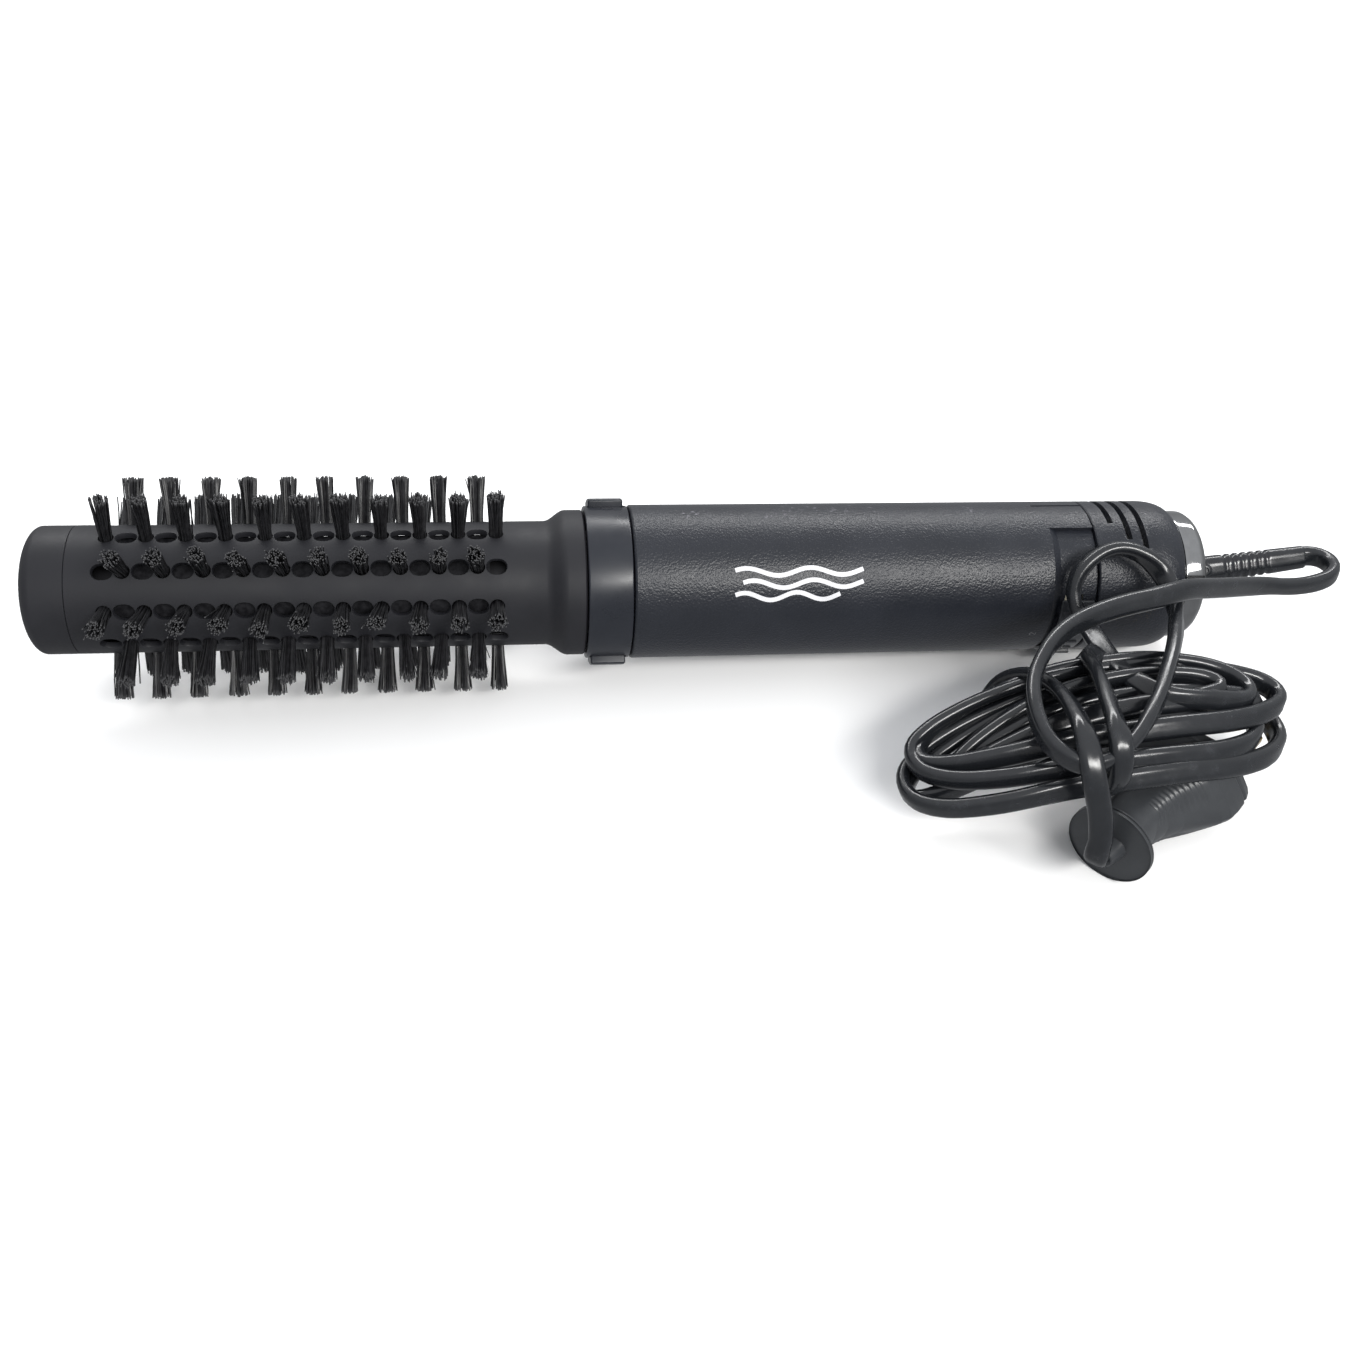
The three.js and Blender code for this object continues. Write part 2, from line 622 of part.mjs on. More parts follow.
function controlBoard() {
  const top = BOARD_FLOOR + BOARD_THICKNESS;
  return turnedTo(block(BOARD_START, BOARD_END, BOARD_FLOOR, top, BOARD_WIDTH), BOARD_ANGLE);
}

function boardPart(start, end, width) {
  const foot = BOARD_FLOOR + BOARD_THICKNESS + GAP;
  return turnedTo(block(start, end, foot, BOARD_PART_TOP, width), BOARD_ANGLE);
}

// ---- Cord and plug ----
function cordTube(route) {
  const path = new THREE.CatmullRomCurve3(route.map((point) => new THREE.Vector3(...point)));
  const options = { steps: Math.round(path.getLength() / CORD_STEP), extrudePath: path, bevelEnabled: false };
  return new THREE.ExtrudeGeometry(ringShape(CORD_RADIUS, 8), options);
}

function shapeOf(points) {
  return new THREE.Shape(points.map(([a, b]) => new THREE.Vector2(a, b)));
}

function hank() {
  const lean = Math.atan2(HANK_RIGHT[1] - HANK_LEFT[1], HANK_RIGHT[0] - HANK_LEFT[0]);
  const outline = new THREE.Shape();
  outline.absarc(...HANK_RIGHT, HANK_HALF_WIDTH, lean - Math.PI / 2, lean + Math.PI / 2, false);
  outline.absarc(...HANK_LEFT, HANK_HALF_WIDTH, lean + Math.PI / 2, lean + 3 * Math.PI / 2, false);
  const stadium = new THREE.ExtrudeGeometry(outline, { depth: 40, bevelEnabled: false, curveSegments: 8 });
  const side = new THREE.ExtrudeGeometry(shapeOf(HANK_SIDE), { depth: 100, bevelEnabled: false });
  side.rotateX(Math.PI / 2);
  return toSolid(stadium).intersect(toSolid(side));
}

// The body is where three outlines meet: its plan, its side and its six-sided front.
function plugBody() {
  const mirrored = (half) => [...half, ...half.toReversed().map(([a, b]) => [a, -b])];
  const slab = (half, reach) => {
    const options = { depth: 2 * reach, bevelEnabled: false };
    return new THREE.ExtrudeGeometry(shapeOf(mirrored(half)), options).translate(0, 0, -reach);
  };
  const fromAbove = toSolid(slab(PLUG_PLAN, 12));
  const fromSide = toSolid(slab(PLUG_SIDE, 20).rotateX(Math.PI / 2));
  const fromFront = toSolid(across(shapeOf(mirrored(PLUG_FRONT)), 0, PLUG_LENGTH));
  const core = fromAbove.intersect(fromSide).intersect(fromFront);
  const boot = new THREE.CylinderGeometry(3.6, 2.9, BOOT_LENGTH, 10).rotateZ(-Math.PI / 2);
  boot.translate(0.5 - BOOT_LENGTH / 2, 0, 0);
  return core.add(toSolid(rod(0, FLANGE_THICKNESS, FLANGE_RADIUS, 28))).add(toSolid(boot));
}

function plugPin(side) {
  const start = PLUG_LENGTH + GAP;
  return rod(start, start + PIN_LENGTH, PIN_RADIUS, 10).translate(0, side * PIN_SPACING / 2, 0);
}

// ---- Assembly ----
function buildBrush(parent) {
  addMesh(parent, 'tip_cap', tipCap(), BLACK);
  addMesh(parent, 'brush_barrel', brushBarrel(), BLACK);
  addMesh(parent, 'air_guide_tube', airGuide(), ALUMINIUM);
  for (let row = 0; row < ROW_COUNT; row += 1) {
    const number = String(row + 1).padStart(2, '0');
    addMesh(parent, `bristle_row_${number}`, bristleRow(row), BRISTLE);
  }
}

function buildHandle(parent) {
  addMesh(parent, 'locking_collar', collar(), SATIN);
  addMesh(parent, 'release_button_upper', releaseButton(90), SATIN);
  addMesh(parent, 'release_button_lower', releaseButton(-90), SATIN);
  addMesh(parent, 'button_spring_upper', buttonSpring(90), STEEL);
  addMesh(parent, 'button_spring_lower', buttonSpring(-90), STEEL);
  addMesh(parent, 'outlet_nozzle', outletNozzle(), BLACK);
  addMesh(parent, 'outlet_grille', outletGrille(), BLACK);
  addMesh(parent, 'handle_shell', handleShell(), BLACK);
  addMesh(parent, 'selector_slider', selectorSlider(), GLOSS);
  addMesh(parent, 'rear_housing', rearHousing(), BLACK);
  addMesh(parent, 'intake_screen', intakeScreen(), STEEL);
  addMesh(parent, 'chrome_ring', chromeRing(), CHROME);
  addMesh(parent, 'swivel_socket', swivelSocket(), BLACK);
}

function buildInsides(parent) {
  addMesh(parent, 'heat_shield', tube(SHIELD_START, SHIELD_END, SHIELD_RADIUS, FOIL, 24), ALUMINIUM);
  addMesh(parent, 'heater_former', heaterFormer(), MICA);
  addMesh(parent, 'heater_coil', heaterCoil(), NICHROME);
  addMesh(parent, 'thermostat', turnedTo(block(160, 170, 5, 9.5, 6), 45), STEEL);
  addMesh(parent, 'thermal_fuse', turnedTo(rod(172, 184, 1.3, 8).translate(0, -4, 0), 135), STEEL);
  addMesh(parent, 'fan_impeller', fanImpeller(), IVORY);
  addMesh(parent, 'fan_shaft', rod(FAN_START - 2, MOTOR_START + MOTOR_LENGTH + 2, SHAFT_RADIUS, 10), STEEL);
  addMesh(parent, 'motor_can', motorCan(), STEEL);
  addMesh(parent, 'motor_mount', motorMount(), IVORY);
  addMesh(parent, 'control_board', controlBoard(), BOARD);
  addMesh(parent, 'rectifier', boardPart(250, 258, 9), BLACK);
  addMesh(parent, 'filter_capacitor', boardPart(275, 283, 12), IVORY);
  addMesh(parent, 'slide_switch', slideSwitch(), IVORY);
}

function buildSwivel(parent) {
  addMesh(parent, 'swivel_drum', swivelDrum(), BLACK);
  addMesh(parent, 'strain_relief', strainRelief(), RUBBER);
}

function buildCord(parent) {
  addMesh(parent, 'cord_lead', cordTube(LEAD_ROUTE), GLOSS);
  addMesh(parent, 'cord_hank', hank(), GLOSS);
  addMesh(parent, 'cord_loop', cordTube(LOOP_ROUTE), GLOSS);
  addMesh(parent, 'cord_tail', cordTube(TAIL_ROUTE), GLOSS);
  const plug = new THREE.Group();
  plug.position.set(...PLUG_PLACE);
  plug.rotation.z = radians(PLUG_TURN);
  parent.add(plug);
  addMesh(plug, 'plug_body', plugBody(), RUBBER);
  addMesh(plug, 'plug_pin_left', plugPin(1), BRASS);
  addMesh(plug, 'plug_pin_right', plugPin(-1), BRASS);
}

// The styler lies on its lowest bristle tips and on the lower edge of the rear housing.
function restingTilt() {
  const lastTuft = FIRST_TUFT + (LONG_ROW - 1) * TUFT_PITCH;
  const rearContact = REAR_END - SHOULDER_ROUND;
  return Math.asin((TUFT_TIP_RADIUS - HANDLE_RADIUS) / (rearContact - lastTuft));
}

const product = new THREE.Group();
const styler = new THREE.Group();
const rolled = new THREE.Group();
rolled.rotation.x = radians(ROLL);
styler.rotation.y = restingTilt();
styler.add(rolled);
product.add(styler);
buildBrush(rolled);
buildHandle(rolled);
buildInsides(rolled);
buildSwivel(rolled);
buildCord(product);

// The origin is the middle of the styler's box, on the surface that it lies on.
product.updateMatrixWorld(true);
const box = new THREE.Box3().setFromObject(styler, true);
styler.position.set(-(box.min.x + box.max.x) / 2, -(box.min.y + box.max.y) / 2, -box.min.z);

export default product;
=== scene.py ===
import json
import math
import random

import bmesh
import bpy
from mathutils import Matrix, Vector


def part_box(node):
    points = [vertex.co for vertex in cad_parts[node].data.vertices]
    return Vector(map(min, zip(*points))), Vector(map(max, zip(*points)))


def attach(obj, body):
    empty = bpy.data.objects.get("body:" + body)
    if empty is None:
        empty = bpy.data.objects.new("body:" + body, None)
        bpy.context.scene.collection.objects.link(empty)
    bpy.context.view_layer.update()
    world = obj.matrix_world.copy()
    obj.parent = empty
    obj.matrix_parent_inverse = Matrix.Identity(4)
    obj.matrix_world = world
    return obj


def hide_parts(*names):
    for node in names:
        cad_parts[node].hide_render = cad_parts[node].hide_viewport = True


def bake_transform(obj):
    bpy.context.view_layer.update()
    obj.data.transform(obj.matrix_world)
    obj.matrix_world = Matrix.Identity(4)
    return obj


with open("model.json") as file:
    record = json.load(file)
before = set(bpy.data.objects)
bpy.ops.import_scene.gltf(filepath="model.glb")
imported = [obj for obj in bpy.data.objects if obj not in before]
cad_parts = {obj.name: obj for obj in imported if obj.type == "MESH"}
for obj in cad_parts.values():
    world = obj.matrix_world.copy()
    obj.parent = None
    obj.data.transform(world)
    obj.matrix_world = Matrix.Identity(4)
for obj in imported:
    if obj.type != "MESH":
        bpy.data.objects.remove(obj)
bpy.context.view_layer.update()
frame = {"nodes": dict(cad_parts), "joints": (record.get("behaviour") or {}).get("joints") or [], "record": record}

# ---- Driving sizes ----
# Millimetres, along the styler (s) and out from its axis. Nearly all are those of the CAD model.
MM = 0.001
GAP = 0.3

TIP_LENGTH = 11.5
TIP_ROUND = 4
TIP_FACE_RADIUS = 8
BARREL_RADIUS = 16
BARREL_WALL = 1.5
FLARE_START = 127
FLARE_END = 132.5
BARREL_END = 137
SKIRT_RADIUS = 18.8

ROW_COUNT = 10
LONG_ROW = 11
TUFT_PITCH = 9.4
FIRST_TUFT = 20.7
FIRST_ROW_ANGLE = 15.2
VENT_LENGTH = 4.9
VENT_WIDTH = 3.8
TUFT_HOLE_RADIUS = 1.7
TUFT_FOOT_RADIUS = 14
TUFT_TIP_RADIUS = 28.1
FILAMENTS = 88
FILAMENT_RADIUS = 0.17
STRIP_FLOOR = 13
STRIP_HALF_WIDTH = 2
STRIP_OVERHANG = 3
GUIDE_START = 17
GUIDE_END = 118
GUIDE_SLOT_INSET = (9, 6)
GUIDE_SLOT_ANGLE = 9

COLLAR_START = 137.3
COLLAR_END = 148.5
COLLAR_RADIUS = 19.8
BUTTON_LENGTH = 9
BUTTON_ANGLE = 27
BUTTON_PROUD = 1.9
BUTTON_FLOOR = 16
COLLAR_WALL = 2.2
COLLAR_MIDDLE = (COLLAR_START + COLLAR_END) / 2

HANDLE_RADIUS = 20
HANDLE_WALL = 2.2
HANDLE_START = 148.8
HANDLE_END = 270
RECESS_START = 258
RECESS_DEPTH = 1.3
RECESS_SLOPE = 2.2
RECESS_ANGLES = (-124, 38)
KEY_START = 256
KEY_ANGLES = (66, 68.4)
SLIDER_ANGLES = (-118, -20)
SLIDER_RIDGE_ANGLE = -86
SLIDER_STEM_ANGLE = -60
SLIDER_TRAVEL = 36
STEM_START = 262
STEM_END = 266
STEM_FLOOR = 15.2
STEM_HALF_ANGLE = 5

REAR_START = 270.3
REAR_END = 295
SHOULDER_RADIUS = 17.2
SHOULDER_ROUND = 7
RING_END = 301.5
LOUVRES = ((275.2, 48), (279.3, 63), (283.4, 71))
LOUVRE_WIDTH = 1.6
SCREEN_START = 272
SCREEN_END = 287
NOZZLE_START = 121
NOZZLE_RADIUS = 13.9
NOZZLE_WALL = 1.2

SWIVEL_RADIUS = 5.5
DRUM_RADIUS = 7.5
SOCKET_RADIUS = 14.3
SWIVEL_JOINT_PLACE = 300
RELIEF_START = 302.9
RELIEF_LENGTH = 36
RELIEF_LIFT = 6.5
RELIEF_WIDTH = 8.2
RELIEF_THICKNESS = 5.2
RELIEF_ROUND = 0.8
RIB_COUNT = 6
RIB_PITCH = 2.4
FIRST_RIB = 11
# The rivet that the strain relief turns on: how far out and how wide, ring by ring
RIVET = ((0.0, 1.9), (2.95, 1.9), (3.1, 1.7), (3.1, 0.9), (2.9, 0.7))
RIVET_PLACE = 5.5

FLANGE_RADIUS = 10.3
FLANGE_THICKNESS = 2.4
PIN_MIDDLE = 48.8
GRIP_START = 11
GRIP_END = 24
GROOVE_DEPTH = 0.22
GROOVE_PITCH = 1.3

# The camera, in metres and degrees
CAMERA_PLACE = (-0.0475, -0.2946, 0.2584)
CAMERA_TURN = 7.82
CAMERA_DIP = 41.79
CAMERA_ROLL = 1.81
LENS_ANGLE = 50.56

# The flat twin cord, in metres, and how strongly a bend turns it over onto its flat side
CORD_WIDTH = 0.0056
CORD_THICKNESS = 0.0034
CORD_STEP = 0.0016
BEND_PULL = 2.2

DEEP_GREY = (0.0100, 0.0102, 0.0128)
HANDLE_GREY = (0.0105, 0.0120, 0.0165)
CORD_BLACK = (0.009, 0.010, 0.012)


# ---- The styler's own frame, read from the joints ----
def styler_frame():
    """Maps (s, y, z) in millimetres to the row frame in metres. -y is the marked front side."""
    joints = {joint["name"]: joint for joint in frame["joints"]}
    swivel = joints["cord_swivel"]
    along = Vector(swivel["axis"]).normalized()
    up = -Vector(joints["upper_button_press"]["axis"]).normalized()
    side = up.cross(along).normalized()
    start = Vector(swivel["pos_m"]) - along * SWIVEL_JOINT_PLACE * MM
    columns = Matrix((along, side, up)).transposed().to_4x4()
    return Matrix.Translation(start) @ columns @ Matrix.Scale(MM, 4)


STYLER = styler_frame()


def around(s, radius, degrees):
    """A point on the styler, in millimetres: 0 degrees is the front, 90 the upper button."""
    angle = math.radians(degrees)
    return Vector((s, -radius * math.cos(angle), radius * math.sin(angle)))


# ---- Mesh helpers ----
def new_object(name, mesh):
    piece = bpy.data.objects.new(name, mesh)
    bpy.context.scene.collection.objects.link(piece)
    return piece


def mesh_from(points, faces):
    mesh = bpy.data.meshes.new("mesh")
    mesh.from_pydata([tuple(p) for p in points], [], faces)
    mesh.validate()
    return mesh


def skin(rings, count, offset=0):
    """The faces of a closed tube of rings of count points each."""
    faces = []
    for ring in range(rings - 1):
        first = offset + ring * count
        for k in range(count):
            j = (k + 1) % count
            faces.append([first + k, first + j, first + count + j, first + count + k])
    last = offset + (rings - 1) * count
    faces.append([offset + k for k in range(count)][::-1])
    faces.append([last + k for k in range(count)])
    return faces


def outward(mesh):
    """Makes all faces of a closed mesh point out."""
    work = bmesh.new()
    work.from_mesh(mesh)
    bmesh.ops.remove_doubles(work, verts=work.verts, dist=1e-5)
    bmesh.ops.recalc_face_normals(work, faces=work.faces)
    if work.calc_volume(signed=True) < 0:
        bmesh.ops.reverse_faces(work, faces=work.faces)
    work.to_mesh(mesh)
    work.free()
    return mesh


def keep_local(mesh):
    """Stores each point's place on the styler, in millimetres, for the materials."""
    place = mesh.attributes.new("place", "FLOAT_VECTOR", "POINT")
    values = [c for v in mesh.vertices for c in v.co]
    place.data.foreach_set("vector", values)


def finish_piece(piece, body, slot, replaced=(), smooth=35, local=True, material=None):
    """Puts a piece that was drawn on the styler into the row frame, and lets it ride. Its material
    has the name of its slot, unless another is named."""
    if local:
        keep_local(piece.data)
        piece.data.transform(STYLER)
    piece.data.shade_smooth()
    piece.data.set_sharp_from_angle(angle=math.radians(smooth))
    piece.data.materials.clear()
    piece.data.materials.append(MATERIALS[material or slot])
    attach(piece, body)
    if replaced:
        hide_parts(*replaced)
    return piece


def apply_modifiers(piece):
    graph = bpy.context.evaluated_depsgraph_get()
    mesh = bpy.data.meshes.new_from_object(piece.evaluated_get(graph))
    piece.modifiers.clear()
    piece.data = mesh
    return piece


def softened(piece, width, segments=2, angle=40):
    """Rounds every sharp edge by a small bevel."""
    bevel = piece.modifiers.new("soft", "BEVEL")
    bevel.width = width
    bevel.segments = segments
    bevel.limit_method = "ANGLE"
    bevel.angle_limit = math.radians(angle)
    bevel.use_clamp_overlap = True
    bevel.harden_normals = False
    return apply_modifiers(piece)


def turned(name, outline, sides=128):
    """A closed outline of (s, radius), turned round the axis. Radius 0 points close on the axis."""
    points, faces, rings = [], [], []
    for s, radius in outline:
        if radius < 1e-6:
            rings.append([len(points)])
            points.append(Vector((s, 0, 0)))
            continue
        rings.append(list(range(len(points), len(points) + sides)))
        points += [around(s, radius, 360 * i / sides) for i in range(sides)]
    closed = outline[0][1] > 1e-6
    pairs = list(zip(rings, rings[1:] + ([rings[0]] if closed else [])))
    for first, second in pairs:
        for i in range(sides):
            j = (i + 1) % sides
            loop = [first[i % len(first)], first[j % len(first)]]
            loop += [second[j % len(second)], second[i % len(second)]]
            corners = list(dict.fromkeys(loop))
            if len(corners) > 2:
                faces.append(corners)
    return new_object(name, outward(mesh_from(points, faces)))


def rounded(outline, radius, steps=4):
    """Rounds the corners of a closed (s, radius) outline that don't lie on the axis."""
    result = []
    count = len(outline)
    for i, corner in enumerate(outline):
        here = Vector(corner)
        before = Vector(outline[i - 1]) - here
        after = Vector(outline[(i + 1) % count]) - here
        if here.y < 1e-6 or before.length < 1e-6 or after.length < 1e-6:
            result.append(corner)
            continue
        reach = min(radius, before.length * 0.45, after.length * 0.45)
        start = here + before.normalized() * reach
        end = here + after.normalized() * reach
        for k in range(steps + 1):
            t = k / steps
            point = start * (1 - t) ** 2 + here * 2 * t * (1 - t) + end * t ** 2
            result.append((point.x, point.y))
    return result


def sector(name, inner, outer, low, high, start, end, steps=24, slope=0.0):
    """A block between two radii and two angles round the axis, and between two places along it.
    slope moves its first face back along the axis at the outer radius."""
    points = []
    for i in range(steps + 1):
        angle = low + (high - low) * i / steps
        for s, radius in ((start, inner), (start - slope, outer), (end, outer), (end, inner)):
            points.append(around(s, radius, angle))
    return new_object(name, outward(mesh_from(points, skin(steps + 1, 4))))


def prism(profile, lower, upper, flare, place, angle):
    """A cutter: a flat (along, across) profile from one radius to another, wider at its top."""
    points = []
    for radius, grow in ((lower, 0), (upper - 0.5, 0), (upper, flare), (upper + 1.5, flare)):
        for a, b in profile:
            length = math.hypot(a, b)
            wide = (length + grow) / length
            points.append(Vector((place + a * wide, -radius, b * wide)))
    turn = Matrix.Rotation(math.radians(-angle), 4, "X")
    return [turn @ p for p in points], skin(4, len(profile))


def joined_mesh(parts):
    points, faces = [], []
    for part_points, part_faces in parts:
        offset = len(points)
        points += part_points
        faces += [[i + offset for i in face] for face in part_faces]
    return mesh_from(points, faces)


def cut(piece, cutter):
    """Takes the cutter's solids out of the piece, and deletes the cutter."""
    boolean = piece.modifiers.new("cut", "BOOLEAN")
    boolean.operation = "DIFFERENCE"
    boolean.solver = "EXACT"
    boolean.object = cutter
    apply_modifiers(piece)
    bpy.data.objects.remove(cutter)
    return piece


def merged(name, pieces):
    """Joins several objects' meshes into one object."""
    parts = []
    for piece in pieces:
        points = [v.co.copy() for v in piece.data.vertices]
        faces = [list(face.vertices) for face in piece.data.polygons]
        parts.append((points, faces))
        bpy.data.objects.remove(piece)
    return new_object(name, joined_mesh(parts))


def catmull(points, step):
    """A smooth curve through the points, sampled every step."""
    knots = [Vector(p) for p in points]
    ends = [knots[0] * 2 - knots[1]] + knots + [knots[-1] * 2 - knots[-2]]
    fine = []
    for i in range(1, len(ends) - 2):
        p0, p1, p2, p3 = ends[i - 1], ends[i], ends[i + 1], ends[i + 2]
        t0 = 0.0
        t1 = t0 + (p1 - p0).length ** 0.5
        t2 = t1 + (p2 - p1).length ** 0.5
        t3 = t2 + (p3 - p2).length ** 0.5
        pieces = 16
        for k in range(pieces):
            t = t1 + (t2 - t1) * k / pieces
            a1 = p0 * ((t1 - t) / (t1 - t0)) + p1 * ((t - t0) / (t1 - t0))
            a2 = p1 * ((t2 - t) / (t2 - t1)) + p2 * ((t - t1) / (t2 - t1))
            a3 = p2 * ((t3 - t) / (t3 - t2)) + p3 * ((t - t2) / (t3 - t2))
            b1 = a1 * ((t2 - t) / (t2 - t0)) + a2 * ((t - t0) / (t2 - t0))
            b2 = a2 * ((t3 - t) / (t3 - t1)) + a3 * ((t - t1) / (t3 - t1))
            fine.append(b1 * ((t2 - t) / (t2 - t1)) + b2 * ((t - t1) / (t2 - t1)))
    fine.append(knots[-1])
    return even(fine, step)


def even(points, step):
    """The same line with its points a step apart."""
    total = sum((b - a).length for a, b in zip(points, points[1:]))
    count = max(2, round(total / step))
    gap = total / count
    result, travelled, target = [points[0].copy()], 0.0, gap
    for a, b in zip(points, points[1:]):
        length = (b - a).length
        while length > 0 and travelled + length >= target - 1e-9 and len(result) < count:
            result.append(a.lerp(b, (target - travelled) / length))
            target += gap
        travelled += length
    result.append(points[-1].copy())
    return result


def relaxed(points, rounds, hold=2):
    """Smooths a line's kinks, keeping its first and last points."""
    line = [p.copy() for p in points]
    for _ in range(rounds):
        line = [
            p if i < hold or i >= len(line) - hold else line[i - 1] * 0.25 + p * 0.5 + line[i + 1] * 0.25
            for i, p in enumerate(line)
        ]
    return line


def length_of(points):
    return sum((b - a).length for a, b in zip(points, points[1:]))


# ---- Materials ----
class Nodes:
    """A short way to build a node material."""

    def __init__(self, name):
        self.material = bpy.data.materials.new(name)
        self.material.use_nodes = True
        self.tree = self.material.node_tree
        self.shader = self.tree.nodes["Principled BSDF"]

    def add(self, kind, **values):
        node = self.tree.nodes.new(kind)
        for key, value in values.items():
            setattr(node, key, value)
        return node

    def link(self, source, target):
        self.tree.links.new(source, target)

    def set(self, **values):
        for key, value in values.items():
            self.shader.inputs[key.replace("_", " ")].default_value = value

    def object_place(self):
        return self.add("ShaderNodeTexCoord").outputs["Object"]

    def local_place(self):
        return self.add("ShaderNodeAttribute", attribute_name="place").outputs["Vector"]

    def noise(self, place, scale, detail=4, roughness=0.55):
        node = self.add("ShaderNodeTexNoise")
        node.inputs["Scale"].default_value = scale
        node.inputs["Detail"].default_value = detail
        node.inputs["Roughness"].default_value = roughness
        self.link(place, node.inputs["Vector"])
        return node.outputs["Fac"]

    def ramp(self, source, low, high, bottom=0.0, top=1.0):
        node = self.add("ShaderNodeMapRange", interpolation_type="SMOOTHSTEP")
        node.inputs["From Min"].default_value = low
        node.inputs["From Max"].default_value = high
        node.inputs["To Min"].default_value = bottom
        node.inputs["To Max"].default_value = top
        self.link(source, node.inputs["Value"])
        return node.outputs["Result"]

    def math(self, operation, first, second=0.5):
        node = self.add("ShaderNodeMath", operation=operation)
        for socket, value in zip(node.inputs, (first, second)):
            if isinstance(value, (int, float)):
                socket.default_value = value
            else:
                self.link(value, socket)
        return node.outputs["Value"]

    def colours(self, factor, first, second):
        node = self.add("ShaderNodeMix", data_type="RGBA")
        self.link(factor, node.inputs["Factor"])
        for name, value in (("A", first), ("B", second)):
            socket = [i for i in node.inputs if i.name == name and i.type == "RGBA"][0]
            if isinstance(value, tuple):
                socket.default_value = (*value, 1)
            else:
                self.link(value, socket)
        return [o for o in node.outputs if o.type == "RGBA"][0]

    def bump(self, height, strength, distance):
        node = self.add("ShaderNodeBump")
        node.inputs["Strength"].default_value = strength
        node.inputs["Distance"].default_value = distance
        self.link(height, node.inputs["Height"])
        return node.outputs["Normal"]

    def to(self, socket, output):
        self.link(output, self.shader.inputs[socket])


def lighter(colour, by):
    return tuple(min(1.0, c * by) for c in colour)


def moulded(name, colour, roughness, grain=900, grain_depth=0.00002, mottle=1.25, spread=0.08, ior=1.4):
    """Moulded plastic: faint mottling, a fine surface grain and uneven gloss."""
    nodes = Nodes(name)
    place = nodes.object_place()
    broad = nodes.noise(place, 60, 5)
    fine = nodes.noise(place, grain, 3, 0.6)
    nodes.to("Base Color", nodes.colours(nodes.ramp(broad, 0.35, 0.7), colour, lighter(colour, mottle)))
    nodes.to("Roughness", nodes.ramp(broad, 0.3, 0.7, roughness - spread, roughness + spread))
    nodes.to("Normal", nodes.bump(fine, 0.6, grain_depth))
    nodes.set(IOR=ior)
    return nodes.material


def metal(name, colour, roughness, grain=400, spread=0.05):
    nodes = Nodes(name)
    place = nodes.object_place()
    streaks = nodes.noise(place, grain, 4)
    nodes.to("Base Color", nodes.colours(nodes.ramp(streaks, 0.3, 0.7), colour, lighter(colour, 0.88)))
    low = max(0.02, roughness - spread)
    nodes.to("Roughness", nodes.ramp(streaks, 0.3, 0.7, low, roughness + spread))
    nodes.to("Normal", nodes.bump(streaks, 0.15, 0.00001))
    nodes.set(Metallic=1.0)
    return nodes.material


def scuff_mask(nodes, place, s_centre, height, s_reach, height_reach, scale):
    """A patch of broken light marks round one spot of the handle: s and height in millimetres."""
    split = nodes.add("ShaderNodeSeparateXYZ")
    nodes.link(place, split.inputs[0])
    s_off = nodes.math("ABSOLUTE", nodes.math("SUBTRACT", split.outputs["X"], s_centre))
    z_off = nodes.math("ABSOLUTE", nodes.math("SUBTRACT", split.outputs["Z"], height))
    s_mask = nodes.ramp(s_off, s_reach, s_reach * 0.4)
    z_mask = nodes.ramp(z_off, height_reach, height_reach * 0.3)
    front = nodes.ramp(split.outputs["Y"], 4, -2)
    specks = nodes.ramp(nodes.noise(place, scale, 6, 0.7), 0.56, 0.66)
    mask = nodes.math("MULTIPLY", s_mask, z_mask)
    return nodes.math("MULTIPLY", nodes.math("MULTIPLY", mask, specks), front)


def handle_material():
    """Satin lacquer with a fine leather-like grain, and the light scuffs along its upper side."""
    nodes = Nodes("handle_soft_touch")
    place = nodes.object_place()
    local = nodes.local_place()
    broad = nodes.noise(place, 45, 5)
    grain = nodes.noise(place, 1500, 2, 0.5)
    pores = nodes.add("ShaderNodeTexVoronoi", feature="SMOOTH_F1")
    pores.inputs["Scale"].default_value = 2300
    nodes.link(place, pores.inputs["Vector"])
    colour = nodes.colours(nodes.ramp(broad, 0.35, 0.7), HANDLE_GREY, lighter(HANDLE_GREY, 1.22))
    scuffs = None
    for spot in ((165, 16.8, 5, 2.0, 0.75), (187, 16.8, 6, 1.6, 0.8), (213, 16.0, 0.45, 2.6, 0.5),
                 (237, 17.4, 3.5, 1.8, 0.9), (200, 18.2, 18, 1.2, 0.6)):
        patch = scuff_mask(nodes, local, *spot)
        scuffs = patch if scuffs is None else nodes.math("MAXIMUM", scuffs, patch)
    faint = nodes.math("MULTIPLY", scuffs, 0.85)
    nodes.to("Base Color", nodes.colours(faint, colour, (0.22, 0.21, 0.24)))
    rough = nodes.ramp(broad, 0.3, 0.7, 0.31, 0.4)
    nodes.to("Roughness", nodes.math("ADD", rough, nodes.math("MULTIPLY", scuffs, 0.25)))
    height = nodes.math("ADD", nodes.math("MULTIPLY", pores.outputs["Distance"], 0.8), grain)
    nodes.to("Normal", nodes.bump(height, 0.85, 0.00012))
    nodes.set(IOR=1.4)
    return nodes.material


